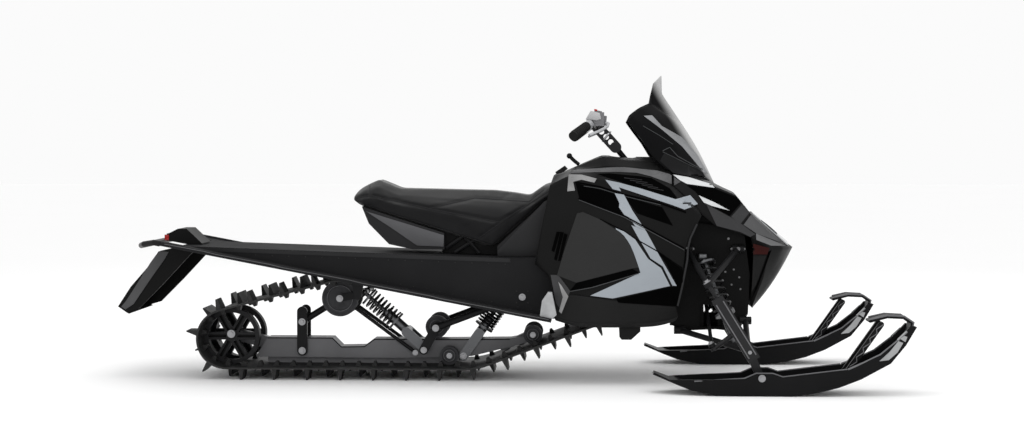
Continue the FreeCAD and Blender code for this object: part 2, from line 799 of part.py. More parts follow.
beam_outline = box_outline(beam_shares, beam_rear_x, beam_base_z, beam_length, beam_height)
beam = side_prism(beam_outline, -beam_half_width, beam_half_width)
carrier = strap((rear_axle_x, rear_axle_z), (beam_rear_x + beam_height, beam_base_z + beam_height / 2),
                beam_height / 2, -axle_carrier_half_width, axle_carrier_half_width)
runner_base = lug_height + belt_thickness + seat_gap
runner_length = ramp_corner_x - beam_rear_x - 2 * beam_height
runner = Part.makeBox(runner_length, 2 * runner_half_width, beam_base_z + beam_height / 4 - runner_base)
runner.translate(V(beam_rear_x + beam_height / 2, -runner_half_width, runner_base))
front_carrier = strap((beam_rear_x + beam_length - beam_height, beam_base_z + beam_height / 2),
                      (front_idler_x, front_idler_z), beam_height / 3,
                      -axle_carrier_half_width, axle_carrier_half_width)
beam = fused([beam, carrier, runner, front_carrier])
axle_holes = [
    cross_rod(rear_axle_x, rear_axle_z, axle_radius + running_gap, -beam_half_width, beam_half_width),
    cross_rod(front_idler_x, front_idler_z, axle_radius + running_gap, -beam_half_width, beam_half_width),
    cross_rod(low_idler_x, low_idler_z, axle_radius + running_gap, -beam_half_width, beam_half_width),
]
beam = beam.cut(axle_holes[0]).cut(axle_holes[1]).cut(axle_holes[2])
save("rail_beam", beam)

rear_axle = cross_rod(rear_axle_x, rear_axle_z, axle_radius, -rear_axle_reach, rear_axle_reach)
save("rear_axle", rear_axle)

bore_radius = axle_radius + running_gap
rear_bore = cross_rod(rear_axle_x, rear_axle_z, bore_radius, -rear_axle_reach, rear_axle_reach)
save("rear_wheels", Part.makeCompound([wheel.cut(rear_bore) for wheel in rear_wheels]))

idler_reach = wheel_place + idler_width / 2
low_idlers = idler_pair(low_idler_x, low_idler_z, low_idler_radius - seat_gap, idler_reach)
front_idlers = idler_pair(front_idler_x, front_idler_z, front_idler_radius - seat_gap, idler_reach)

top_axle_reach = idler_reach + 2 * seat_gap + strap_thickness
top_bore = cross_rod(top_idler_x, top_idler_z, bore_radius, -top_axle_reach, top_axle_reach)
top_wheel_radius = top_idler_radius - seat_gap
top_idlers = [disc_wheel(top_idler_x, top_idler_z, top_wheel_radius, idler_width, side).cut(top_bore)
              for side in (-1, 1)]

link_inner = beam_half_width + seat_gap
link_outer = link_inner + link_thickness
link_tube = cross_rod(link_x, arm_pivot_z, axle_radius, -link_outer, link_outer)
link_plates = []
for side in (-1, 1):
    low, high = sorted((side * link_inner, side * link_outer))
    link_plates.append(strap((link_x, link_bottom_z), (link_x, link_top_z), 2 * link_half_width, low, high))
save("rear_link", fused([link_tube] + link_plates))

arm_pieces = []
for side in (-1, 1):
    arm_pieces.append(rod(V(link_x, side * arm_place, arm_pivot_z),
                          V(top_idler_x, side * arm_place, top_idler_z), arm_tube_radius))
    low, high = sorted((side * (idler_reach + seat_gap), side * top_axle_reach))
    arm_pieces.append(strap((top_idler_x, top_idler_z), (hanger_x, hanger_z), strap_width, low, high))
arm_sleeve = arm_place + arm_tube_radius + seat_gap
arm_sleeve_radius = arm_tube_radius + web_thickness / 2
arm_pieces.append(cross_rod(link_x, arm_pivot_z, arm_sleeve_radius, -arm_sleeve, arm_sleeve))
arm_axle_reach = top_axle_reach + seat_gap
arm_pieces.append(cross_rod(top_idler_x, top_idler_z, axle_radius, -arm_axle_reach, arm_axle_reach))
hanger_reach = tunnel_half_width - tunnel_wall - seat_gap
link_bore = cross_rod(link_x, arm_pivot_z, bore_radius, -link_outer, link_outer)
hanger_bore = cross_rod(hanger_x, hanger_z, bore_radius, -hanger_reach, hanger_reach)
bored = [piece.cut(link_bore).cut(hanger_bore) for piece in arm_pieces]
save("rear_arm", bored[0].multiFuse(bored[1:]))


# Tunnel lines: the top of the tunnel and the line of the running boards
def line_z(x, a, b):
    return a[1] + (b[1] - a[1]) * (x - a[0]) / (b[0] - a[0])


tunnel_corners = [(tunnel_rear_x, tunnel_rear_z), (tunnel_waist_x, tunnel_waist_z),
                  (tunnel_front_x, tunnel_front_z)]


def tunnel_top(x):
    if x < tunnel_waist_x:
        return line_z(x, tunnel_corners[0], tunnel_corners[1])
    return line_z(x, tunnel_corners[1], tunnel_corners[2])


def board_line(x):
    return line_z(x, (board_rear_x, board_rear_z), (board_front_x, board_front_z))


top_strip = tunnel_corners + [(x, z - tunnel_wall) for x, z in reversed(tunnel_corners)]
side_outline = [
    (tunnel_side_rear_x, tunnel_top(tunnel_side_rear_x)),
    (tunnel_waist_x, tunnel_waist_z),
    (tunnel_front_x, tunnel_front_z),
    (tunnel_front_x, board_front_z + tunnel_skirt),
    (board_front_x, board_front_z - tunnel_skirt),
    (tunnel_side_rear_x, board_line(tunnel_side_rear_x) - tunnel_skirt),
]
tunnel_pieces = [side_prism(top_strip, -tunnel_half_width, tunnel_half_width)]
tunnel_pieces.append(side_prism(side_outline, tunnel_half_width - tunnel_wall, tunnel_half_width))
tunnel_pieces.append(side_prism(side_outline, -tunnel_half_width, tunnel_wall - tunnel_half_width))
tunnel = fused(tunnel_pieces)
for along in (-1, 1):
    for across in (-1, 1):
        x = rack_centre_x + along * rack_spacing_x / 2
        y = across * rack_spacing_y / 2
        hole = Part.makeCylinder(rack_hole_radius, 6 * tunnel_wall, V(x, y, tunnel_top(x) - 4 * tunnel_wall))
        tunnel = tunnel.cut(hole)
save("tunnel", tunnel)

hanger_pieces = [cross_rod(hanger_x, hanger_z, axle_radius, -hanger_reach, hanger_reach)]
for side in (-1, 1):
    low, high = sorted((side * (hanger_reach - hanger_thickness), side * hanger_reach))
    plate_top = board_line(hanger_x) + hanger_half_width
    plate = [(hanger_x - hanger_half_width, plate_top), (hanger_x + hanger_half_width, plate_top),
             (hanger_x + strap_width / 2, hanger_z), (hanger_x - strap_width / 2, hanger_z)]
    hanger_pieces.append(side_prism(plate, low, high))
    hanger_pieces.append(cross_rod(hanger_x, hanger_z, strap_width / 2, low, high))
save("suspension_hanger", fused(hanger_pieces))

# Mid idlers on their side plates above the beam
plate_inner = bracket_plate_y - idler_plate_thickness / 2
plate_outer = bracket_plate_y + idler_plate_thickness / 2
mid_axle_reach = front_arm_place + front_arm_radius
mid_bore = cross_rod(mid_idler_x, mid_idler_z, bore_radius, -mid_axle_reach, mid_axle_reach)
mid_idlers = [disc_wheel(mid_idler_x, mid_idler_z, mid_idler_radius, idler_width, side).cut(mid_bore)
              for side in (-1, 1)]
save("idler_wheels", Part.makeCompound(top_idlers + mid_idlers + [low_idlers, front_idlers]))
fork_outer = beam_half_width + seat_gap + strap_thickness
bracket_pieces = [cross_rod(mid_idler_x, mid_idler_z, axle_radius, -mid_axle_reach, mid_axle_reach)]
for side in (-1, 1):
    low, high = sorted((side * plate_inner, side * plate_outer))
    plate = strap((mid_idler_x, mid_idler_z), (rear_foot_x, rear_foot_z), bracket_width, low, high)
    bracket_pieces.append(plate)
    low, high = sorted((side * (fork_outer + seat_gap), side * plate_outer))
    bracket_pieces.append(cross_rod(rear_foot_x, rear_foot_z, axle_radius, low, high))
save("idler_brackets", fused(bracket_pieces))

rod_place = fork_outer + seat_gap + rod_radius
rod_head_place = beam_half_width + rod_radius / 2
rods = []
for side in (-1, 1):
    head = V(top_idler_x, side * rod_head_place, top_idler_z)
    foot = V(rod_foot_x, side * rod_place, rod_foot_z)
    low, high = sorted((side * (rod_head_place - rod_radius), side * (rod_head_place + rod_radius)))
    eye = cross_rod(top_idler_x, top_idler_z, axle_radius + web_thickness / 2, low, high)
    low, high = sorted((side * (beam_half_width + seat_gap), side * (rod_place + rod_radius)))
    stub = cross_rod(rod_foot_x, rod_foot_z, rod_radius, low, high)
    rods.append(fused([rod(head, foot, rod_radius), eye, stub]).cut(top_bore))
save("pull_rods", Part.makeCompound(rods))

# Front arm between the mid idler axle and the tunnel
shock_head = V(mid_idler_x + (front_pivot_x - mid_idler_x) * front_shock_share, 0,
               mid_idler_z + (front_pivot_z - mid_idler_z) * front_shock_share)
front_arm_pieces = [
    cross_rod(front_pivot_x, front_pivot_z, front_cross_radius, -hanger_reach, hanger_reach),
    cross_rod(shock_head.x, shock_head.z, axle_radius, -front_arm_place, front_arm_place),
]
for side in (-1, 1):
    low, high = sorted((side * (front_arm_place - front_arm_radius), side * mid_axle_reach))
    front_arm_pieces.append(cross_rod(mid_idler_x, mid_idler_z, front_arm_radius + web_thickness / 2, low,
                                      high))
    front_arm_pieces.append(rod(V(mid_idler_x, side * front_arm_place, mid_idler_z),
                                V(front_pivot_x, side * front_arm_place, front_pivot_z), front_arm_radius))
bored = [piece.cut(mid_bore) for piece in front_arm_pieces]
save("front_arm", bored[0].multiFuse(bored[1:]))


# Dampers of the rear suspension: their lower end is a fork that straddles the beam
def forked_damper(head, foot, body_end_share, spring_end_share):
    axis = foot - head
    body_end = head + axis * body_end_share
    damper, spring = coil_over(head, body_end, spring_start_share / body_end_share, spring_end_share,
                               damper_body_share, (V(0, 1, 0), V(0, 1, 0)))
    pieces = [damper, cross_rod(body_end.x, body_end.z, damper_radius, -fork_outer, fork_outer)]
    for side in (-1, 1):
        low, high = sorted((side * link_inner, side * fork_outer))
        pieces.append(strap((body_end.x, body_end.z), (foot.x, foot.z), 2 * damper_radius, low, high))
    bore = cross_rod(head.x, head.z, bore_radius, -damper_eye_width, damper_eye_width)
    return fused(pieces).cut(bore), spring


rear_damper, rear_spring = forked_damper(V(hanger_x, 0, hanger_z), V(rear_foot_x, 0, rear_foot_z),
                                         rear_damper_end_share, rear_spring_end_share)
front_damper, front_spring = forked_damper(shock_head, V(front_foot_x, 0, front_foot_z),
                                           centre_damper_end_share, centre_spring_end_share)
save("track_dampers", Part.makeCompound([rear_damper, front_damper]))
save("rear_spring", rear_spring)
save("centre_spring", front_spring)

# Drive axle with its two sprockets
sprocket_radius = sprocket_pitch_radius - belt_thickness / 2 - seat_gap
drive_pieces = [cross_rod(sprocket_x, sprocket_z, drive_axle_radius, -hanger_reach, hanger_reach)]
for side in (-1, 1):
    low = side * wheel_place - sprocket_width / 2
    drive_pieces.append(cross_rod(sprocket_x, sprocket_z, sprocket_radius, low, low + sprocket_width))
save("drive_axle", fused(drive_pieces))

# Running boards, rear bumper, flap and tail lamp
board_inner = tunnel_half_width + seat_gap


def make_board():
    rings = []
    for x, z, half_width in ((board_rear_x, board_rear_z, board_rear_half_width),
                             (board_front_x, board_front_z, board_front_half_width)):
        rings.append([V(x, board_inner, z), V(x, half_width, z),
                      V(x, half_width, z - board_thickness), V(x, board_inner, z - board_thickness)])
    board = ring_solid(rings)
    slot_width = (board_front_half_width - board_inner) * board_slot_share
    for n in range(board_slot_count):
        x = board_front_x - board_slot_pitch * (n + 1)
        width = slot_width
        slot = Part.makeBox(board_slot_length, width, 4 * board_slot_length)
        slot.translate(V(x, board_inner + width / 2, board_line(x) - 2 * board_slot_length))
        board = board.cut(slot)
    edge = rod(rings[0][1], rings[1][1], board_edge_radius)
    return fused([board, edge])


board = make_board()
save("running_board_left", board)
save("running_board_right", mirrored(board))

board_rear_edge = V(board_rear_x, board_rear_half_width, board_rear_z)
board_front_edge = V(board_front_x, board_front_half_width, board_front_z)
edge_line = (board_front_edge - board_rear_edge).normalize()
bumper_start = board_rear_edge - edge_line * seat_gap
bumper_neck = bumper_start - edge_line * (2 * bumper_radius)
bumper_side = V(bumper_rear_x, bumper_half_width, bumper_rear_z)
bumper_knee = (bumper_neck + bumper_side) * 0.5 + V(-bumper_radius, bumper_radius, 0)
half_bumper = [bumper_start, bumper_neck, bumper_knee, bumper_side]
other_half = [V(p.x, -p.y, p.z) for p in reversed(half_bumper)]
save("rear_bumper", bent_rod(half_bumper + other_half, bumper_radius))

toe_outline = box_outline(toe_hold_shares, toe_hold_x, toe_hold_base_z, toe_hold_length, toe_hold_height)
toe_hold = side_prism(toe_outline, toe_hold_inner, toe_hold_outer)
save("toe_hold_left", toe_hold)
save("toe_hold_right", mirrored(toe_hold))

flap_outline = box_outline(flap_shares, tunnel_rear_x - flap_reach, flap_base_z, flap_length, flap_height)
flap_wing = side_prism(flap_outline, flap_half_width - flap_wall, flap_half_width)
flap_back = flap_outline[1:7]
back_strip = flap_back + [(x + flap_wall, z - flap_wall / 2) for x, z in reversed(flap_back)]
flap_plate = side_prism(back_strip, -flap_half_width, flap_half_width)
flap_roof = flap_outline[:3] + [(x, z - flap_wall) for x, z in reversed(flap_outline[:3])]
flap_top = side_prism(flap_roof, -flap_half_width, flap_half_width)
save("snow_flap", fused([flap_plate, flap_top, flap_wing, mirrored(flap_wing)]))

lamp_outline = box_outline(lamp_shares, lamp_rear_x, tunnel_rear_z + seat_gap, lamp_length, lamp_height)
lamp = side_prism(lamp_outline, -lamp_half_width, lamp_half_width)
lens_space = Part.makeBox(lamp_lens_depth, 2 * lamp_half_width - 2 * lamp_lens_depth, lamp_height)
lens_space.translate(V(lamp_rear_x, lamp_lens_depth - lamp_half_width, tunnel_rear_z))
lens_front = Part.makeBox(seat_gap, 2 * lamp_half_width, lamp_height)
lens_front.translate(V(lamp_rear_x + lamp_lens_depth - seat_gap, -lamp_half_width, tunnel_rear_z))
save("tail_lamp", lamp.cut(lens_space))
save("tail_lens", lamp.common(lens_space).cut(lens_front))


# Seat, seat pan, tank and engine
def seat_station(share):
    x = seat_rear_x + seat_length * share[0]
    low = seat_base_z + seat_height * share[1]
    high = seat_base_z + seat_height * share[2]
    return x, low, high, seat_half_width * share[3]


seat_rings = []
for share in seat_stations_shares:
    x, low, high, half_width = seat_station(share)
    left = [V(x, half_width * a, low + (high - low) * b) for a, b in seat_ring_shares]
    seat_rings.append(left + [V(p.x, -p.y, p.z) for p in reversed(left[1:-1])])
save("seat", ring_solid(seat_rings))

seat_line = [(seat_station(share)[0], seat_station(share)[1] - seat_gap) for share in seat_stations_shares]
pan_top = seat_line[1:5]
pan_base = box_outline(seat_pan_shares, pan_top[0][0], seat_pan_base_z, pan_top[-1][0] - pan_top[0][0],
                       pan_top[0][1] - seat_pan_base_z)
save("seat_pan", side_prism(pan_top + list(reversed(pan_base)), -seat_pan_half_width, seat_pan_half_width))

tank_rise = [p for p in seat_line if p[0] > tank_rear_x]
tank_start = (tank_rear_x, line_z(tank_rear_x, seat_line[5], seat_line[6]))
tank_floor = [(x, tunnel_top(x) + seat_gap) for x in (tank_front_x, tunnel_waist_x, tank_rear_x)]
tank_outline = [tank_start] + tank_rise + [(tank_rise[-1][0] + seat_gap, tank_rise[-1][1]),
                                           (tank_rise[-1][0] + seat_gap, tank_neck_z),
                                           (tank_front_x, tank_top_z)] + tank_floor
save("fuel_tank", side_prism(tank_outline, -tank_half_width, tank_half_width))

engine_base_z = tunnel_top(engine_rear_x + engine_length) + engine_lift
engine_outline = box_outline(engine_shares, engine_rear_x, engine_base_z, engine_length, engine_height)
engine = side_prism(engine_outline, -engine_half_width, engine_half_width)
engine_feet = []
for x in (engine_rear_x + engine_length / 4, engine_rear_x + 3 * engine_length / 4):
    foot = Part.makeBox(engine_length / 8, 2 * engine_half_width, 2 * engine_lift + engine_height / 8)
    foot.translate(V(x, -engine_half_width, engine_base_z - 2 * engine_lift))
    engine_feet.append(foot)
tunnel_cover = side_prism([(tunnel_waist_x, board_front_z), (tunnel_waist_x, tunnel_waist_z + seat_gap),
                           (tunnel_front_x, tunnel_front_z + seat_gap), (tunnel_front_x, board_front_z)],
                          -tunnel_half_width, tunnel_half_width)
save("engine", fused([engine] + engine_feet).cut(tunnel_cover))

# Bodywork
panel_inside = (body_rear_x + body_length / 3, 0, body_base_z + body_height / 3)
side_rows = [[body_point(s) for s in row] for row in side_panel_shares]
side_panel = panel_from_rows(side_rows, body_wall, panel_inside)
save("side_panel_left", side_panel)
save("side_panel_right", mirrored(side_panel))

belly_top = [(a, b, c - panel_gap / body_height) for a, b, c in side_panel_shares[-1]]
belly_rows = [[body_point(s) for s in row] for row in [belly_top] + belly_shares]
belly_inside = (body_rear_x + body_length / 3, tunnel_half_width, body_base_z + body_height / 8)
belly = panel_from_rows(belly_rows, body_wall, belly_inside)
lug_outline = box_outline(belly_lug_shares, belly_lug_rear_x, belly_lug_base_z, belly_lug_length,
                          belly_lug_height)
belly = fused([belly, side_prism(lug_outline, belly_lug_inner, belly_lug_outer)])
save("belly_pan_left", belly)
save("belly_pan_right", mirrored(belly))

column_axis = lean(column_angle)
column_top = V(column_top_x, 0, column_top_z)
console_edge = [(a, b - seam_gap / body_half_width, c) for a, b, c in side_panel_shares[0][:5]]
console_corner = side_panel_shares[0][5]
console_edge_share = console_corner[1] - seam_gap / body_half_width
console_edge.append((console_shares[0][-1][0], console_edge_share, console_corner[2]))
console_rows = full_rows([console_edge] + console_shares)
console = panel_from_rows(console_rows, body_wall, panel_inside, len(console_shares))
opening_reach = column_top_z - pitman_z
post_opening = Part.makeCylinder(post_opening_radius, 2 * opening_reach,
                                 column_top - column_axis * opening_reach, column_axis)
save("console", console.cut(post_opening))

hood_middle = len(hood_shares) - 1
hood = panel_from_rows(full_rows(hood_shares), body_wall, panel_inside, hood_middle)
save("hood", hood)

nose_rows = []
for row in nose_shares:
    left = [body_point(s) for s in row]
    nose_rows.append(left + [V(p.x, -p.y, p.z) for p in reversed(left[:-1])])
nose_inside = (body_rear_x + body_length * nose_inside_share, 0, body_base_z + body_height / 3)
nose = panel_from_rows(nose_rows, body_wall, nose_inside, turn_column=len(nose_shares[0]) - 1)
save("nose", nose)

# Headlamps: two lenses lying on the middle facets of the nose's upper face
lens_points = nose_rows[0][3:5] + nose_rows[1][3:5]
lens_cells = grid_cells(2, 2)
lens = shell_panel(lens_points, lens_cells, -headlamp_wall - seat_gap, nose_inside)
lens = lens.cut(shell_panel(lens_points, lens_cells, -seat_gap, nose_inside))
lens_frame = Part.makeBox(body_length * headlamp_length_share, headlamp_outer - headlamp_edge, body_height)
lens_frame.translate(V(body_rear_x + body_length * headlamp_rear_share, headlamp_edge, body_base_z))
headlamp = lens.common(lens_frame)
save("headlamps", Part.makeCompound([headlamp, mirrored(headlamp)]))


def windshield_point(share, side=1):
    return V(windshield_rear_x + windshield_length * share[0], side * windshield_half_width * share[1],
             windshield_base_z + windshield_height * share[2])


windshield_points = []
for row in windshield_shares:
    windshield_points += [windshield_point(s) for s in row]
    windshield_points += [windshield_point(s, -1) for s in reversed(row[:-1])]
columns = 2 * len(windshield_shares[0]) - 1
windshield_cells = grid_cells(len(windshield_shares), columns, turn_column=columns // 2)
first_fin = len(windshield_points)
windshield_points += [windshield_point(s) for s in windshield_fin_shares]
windshield_points += [windshield_point(s, -1) for s in reversed(windshield_fin_shares[:-1])]
top_row = (len(windshield_shares) - 1) * columns
near, middle, far = (top_row + columns // 2 + k for k in (-1, 0, 1))
a, b, c, d, e = range(first_fin, first_fin + 5)
windshield_cells += [(near, middle, a), (middle, c, b), (middle, b, a), (middle, far, e), (middle, e, d),
                     (middle, d, c)]
windshield_inside = (windshield_rear_x, 0, windshield_base_z + windshield_height / 2)
windshield = shell_panel(windshield_points, windshield_cells, windshield_wall, windshield_inside)
hood_top = [[p + V(0, 0, seat_gap) for p in row] for row in full_rows(hood_shares)]
hood_cover = panel_from_rows(hood_top, 8 * windshield_wall, panel_inside, hood_middle)
save("windshield", windshield.cut(hood_cover))


# Front frame: bulkhead, side plates, cross plates, steering bearing and damper brackets
bulkhead = Part.makeBox(bulkhead_thickness, 2 * bulkhead_half_width, bulkhead_top_z - bulkhead_base_z)
bulkhead.translate(V(bulkhead_x, -bulkhead_half_width, bulkhead_base_z))
frame_rear_x = bulkhead_x + bulkhead_thickness
frame_length = frame_front_x - frame_rear_x
frame_height = frame_top_z - frame_base_z
frame_outline = box_outline(frame_side_shares, frame_rear_x, frame_base_z, frame_length, frame_height)
window_outline = box_outline(frame_window_shares, frame_rear_x, frame_base_z, frame_length, frame_height)
side_plate = side_prism(frame_outline, frame_half_width - frame_wall, frame_half_width)
side_plate = side_plate.cut(side_prism(window_outline, 0, 2 * frame_half_width))
front_line = frame_outline[3:6]
front_strip = front_line + [(x - frame_wall, z) for x, z in reversed(front_line)]
floor_line = frame_outline[6:] + frame_outline[:1]
floor_strip = floor_line + [(x, z + frame_wall) for x, z in reversed(floor_line)]
bearing_z = frame_top_z - strap_width / 2
bearing = on_axis(column_top_x, column_top_z, column_angle, bearing_z)
bearing_bar = Part.makeBox(strap_width, 2 * frame_half_width, strap_width)
bearing_bar.translate(V(bearing.x - strap_width / 2, -frame_half_width, bearing_z - strap_width / 2))
bearing_bore = Part.makeCylinder(column_radius + running_gap, 6 * strap_width,
                                 bearing - column_axis * (3 * strap_width), column_axis)
bearing_ring = ring_on(bearing, column_axis, bearing_radius, bearing_length)
frame_pieces = [bulkhead, side_plate, mirrored(side_plate),
                side_prism(front_strip, -frame_half_width, frame_half_width),
                side_prism(floor_strip, -frame_half_width, frame_half_width), bearing_bar, bearing_ring]
pin_radius = ski_bolt_radius
ear_gap = damper_eye_width / 2 + seat_gap
for side in (-1, 1):
    for along in (-1, 1):
        ear_reach = shock_top_y - frame_half_width + damper_eye_radius
        ear = Part.makeBox(frame_wall, ear_reach, 2 * ear_half_height)
        x = shock_top_x + along * (ear_gap + frame_wall / 2) - frame_wall / 2
        ear.translate(V(x, frame_half_width, shock_top_z - ear_half_height))
        frame_pieces.append(ear if side > 0 else mirrored(ear))
    pin = Part.makeCylinder(pin_radius, 2 * ear_gap + 2 * frame_wall,
                            V(shock_top_x - ear_gap - frame_wall, side * shock_top_y, shock_top_z), V(1, 0, 0))
    frame_pieces.append(pin)
front_frame = fused(frame_pieces).cut(bearing_bore)
save("front_frame", front_frame)

# Front suspension arms: two legs from pivots on the frame to a ring around the spindle's stud
king_axis = lean(king_pin_angle)


def king_point(z):
    p = on_axis(king_pin_foot_x, king_pin_foot_z, king_pin_angle, z)
    return V(p.x, king_pin_place, p.z)


pivot_radius = arm_radius + web_thickness / 2
pivot_y = frame_half_width + seat_gap + pivot_radius


def make_arm(rear, front, joint_z):
    joint = king_point(joint_z)
    joint_edge = V(joint.x, joint.y - joint_ring_radius + tunnel_wall, joint.z)
    pieces = [ring_on(joint, king_axis, joint_ring_radius, joint_ring_length)]
    for x, z in (rear, front):
        start = V(x, pivot_y, z)
        pieces.append(rod(start, joint_edge, arm_radius))
        sleeve_length = 4 * arm_radius
        sleeve_start = V(x - sleeve_length / 2, pivot_y, z)
        pieces.append(Part.makeCylinder(pivot_radius, sleeve_length, sleeve_start, V(1, 0, 0)))
    return pieces, joint_edge


def finish_arm(pieces, joint_z):
    joint = king_point(joint_z)
    stud_space = Part.makeCylinder(joint_stud_radius + running_gap, 4 * joint_ring_length,
                                   joint - king_axis * (2 * joint_ring_length), king_axis)
    return fused(pieces).cut(stud_space)


upper_rear = (upper_arm_rear_x, upper_arm_z)
upper_front = (upper_arm_front_x, upper_arm_z)
upper_pieces, upper_edge = make_arm(upper_rear, upper_front, upper_joint_z)
upper_arm = finish_arm(upper_pieces, upper_joint_z)
save("upper_arms", Part.makeCompound([upper_arm, mirrored(upper_arm)]))

lower_rear = V(lower_arm_rear_x, pivot_y, lower_arm_rear_z)
lower_front = V(lower_arm_front_x, pivot_y, lower_arm_front_z)
lower_ends = [(p.x, p.z) for p in (lower_rear, lower_front)]
lower_pieces, lower_edge = make_arm(lower_ends[0], lower_ends[1], lower_joint_z)
pin_start = lower_rear + (lower_edge - lower_rear) * shock_foot_share
pin_end = lower_front + (lower_edge - lower_front) * shock_foot_share
lower_pieces.append(rod(pin_start, pin_end, pin_radius))
lower_arm = finish_arm(lower_pieces, lower_joint_z)
save("lower_arms", Part.makeCompound([lower_arm, mirrored(lower_arm)]))

# Front dampers between the frame's ears and the lower arm's cross pin
shock_top = V(shock_top_x, shock_top_y, shock_top_z)
shock_foot = (pin_start + pin_end) * 0.5
pin_axis = (pin_end - pin_start).normalize()
shock, shock_spring = coil_over(shock_top, shock_foot, spring_start_share, ski_spring_end_share,
                                ski_damper_body_share, (V(1, 0, 0), pin_axis))
shock = shock.cut(ring_on(shock_top, V(1, 0, 0), pin_radius + running_gap, 4 * damper_eye_width))
shock = shock.cut(ring_on(shock_foot, pin_axis, pin_radius + running_gap, 4 * damper_eye_width))
save("ski_damper_left", shock)
save("ski_damper_right", mirrored(shock))
save("ski_spring_left", shock_spring)
save("ski_spring_right", mirrored(shock_spring))

# Spindles: a square leg along the king pin line, studs for the arms, steering arm and ski bolt
leg_top = king_point(spindle_top_z)
leg_bottom = king_point(spindle_bottom_z)
leg_side = V(king_axis.z, 0, -king_axis.x) * (spindle_width / 2)
leg_corners = [leg_top + leg_side, leg_top - leg_side, leg_bottom - leg_side, leg_bottom + leg_side]
leg = side_prism([(p.x, p.z) for p in leg_corners], ski_place - spindle_thickness / 2,
                 ski_place + spindle_thickness / 2)
foot_start = king_point(spindle_bottom_z + spindle_foot_width)
foot = strap((foot_start.x, foot_start.z), (ski_bolt_x, ski_bolt_z), spindle_foot_width,
             ski_place - spindle_foot_thickness / 2, ski_place + spindle_foot_thickness / 2)
ski_bolt = cross_rod(ski_bolt_x, ski_bolt_z, ski_bolt_radius, ski_place - ski_half_width,
                     ski_place + ski_half_width)
spindle_pieces = [leg, foot, ski_bolt]
for joint_z, direction in ((upper_joint_z, -1), (lower_joint_z, 1)):
    joint = king_point(joint_z)
    boss = joint + king_axis * (direction * (joint_ring_length + boss_setback))
    if direction < 0:
        boss = king_point(spindle_top_z - boss_radius)
    spindle_pieces.append(cross_rod(boss.x, boss.z, boss_radius, king_pin_place - boss_radius, ski_place))
    tip = joint - king_axis * (direction * (joint_ring_length / 2 + seat_gap))
    spindle_pieces.append(rod(boss, tip, joint_stud_radius))
arm_root = king_point(steering_arm_z)
king_back = lean_back(king_pin_angle)
tie_outer = arm_root + king_back * steering_arm_length
tie_seat = tie_outer - king_axis * (tie_rod_eye_length + tie_rod_eye_radius / 2)
arm_start = V(arm_root.x, ski_place - spindle_thickness / 4, arm_root.z)
spindle_pieces.append(rod(arm_start, tie_seat, steering_arm_radius))
spindle_pieces.append(ring_on(tie_seat, king_axis, tie_rod_eye_radius, tie_rod_eye_length))
spindle_pieces.append(rod(tie_seat, tie_outer + king_axis * tie_rod_eye_length, pitman_pin_radius))
spindle = fused(spindle_pieces)
save("spindle_left", spindle)
save("spindle_right", mirrored(spindle))

# Skis: a channel with turned-up ends, a carrying handle and its strut
ski_outline = box_outline(ski_shares, ski_rear_x, 0, ski_length, ski_height)
ski = side_prism(ski_outline, -ski_half_width, ski_half_width)
plan = [V(ski_rear_x + ski_length * a, ski_half_width * b, 0) for a, b in ski_plan_shares]
plan += [V(p.x, -p.y, 0) for p in reversed(plan)]
ski = ski.common(Part.Face(Part.makePolygon(plan + plan[:1])).extrude(V(0, 0, 2 * ski_height)))
inner_half = ski_half_width - ski_wall
channel = side_prism([(x, z + ski_floor) for x, z in ski_outline], -inner_half, inner_half)
inner_plan = [V(ski_rear_x + ski_length * a, (ski_half_width * b) - ski_wall, 0) for a, b in ski_plan_shares]
inner_plan += [V(p.x, -p.y, 0) for p in reversed(inner_plan)]
inner_face = Part.Face(Part.makePolygon(inner_plan + inner_plan[:1]))
channel = channel.common(inner_face.extrude(V(0, 0, 2 * ski_height)))
ski = ski.cut(channel)
handle_half = ski_half_width * ski_handle_share
handle_line = box_outline(ski_handle_shares, ski_rear_x, 0, ski_length, ski_height)
ski_pieces = [ski]
for p, q in zip(handle_line, handle_line[1:]):
    ski_pieces.append(strap(p, q, ski_handle_radius, -handle_half, handle_half))
strut_line = box_outline(ski_strut_shares, ski_rear_x, 0, ski_length, ski_height)
for side in (-1, 1):
    low, high = sorted((side * handle_half * ski_strut_share, side * handle_half))
    ski_pieces.append(strap(strut_line[0], strut_line[1], 2 * ski_handle_radius, low, high))
ski = fused(ski_pieces)
bolt_space = ski_bolt_radius + running_gap
ski = ski.cut(cross_rod(ski_bolt_x, ski_bolt_z, bolt_space, -ski_half_width, ski_half_width))
ski.translate(V(0, ski_place, 0))
save("ski_left", ski)
save("ski_right", mirrored(ski))


# Steering: column with pitman arm, riser, bar, grips, controls and tie rods
def flat_link(start, end, width, normal, thickness):
    """Flat bar with round ends between two points, square to the normal."""
    along = (end - start).normalize()
    side = along.cross(normal).normalize() * (width / 2)
    base = normal * (-thickness / 2)
    corners = [start + side + base, end + side + base, end - side + base, start - side + base]
    bar = Part.Face(Part.makePolygon(corners + corners[:1])).extrude(normal * thickness)
    ends = [Part.makeCylinder(width / 2, thickness, p + base, normal) for p in (start, end)]
    return fused([bar] + ends)


pitman_root = on_axis(column_top_x, column_top_z, column_angle, pitman_z)
tie_inner = pitman_root + lean_back(column_angle) * steering_arm_length
riser_base = column_top + column_axis * (3 * column_radius)
post = rod(pitman_root - column_axis * pitman_thickness, riser_base, column_radius)
pitman = flat_link(pitman_root, tie_inner, pitman_width, column_axis, pitman_thickness)
pin_reach = tie_rod_spread + tie_rod_eye_length
pitman_pin = rod(tie_inner - column_axis * pin_reach, tie_inner + column_axis * pin_reach, pitman_pin_radius)
save("steering_column", fused([post, pitman, pitman_pin]))

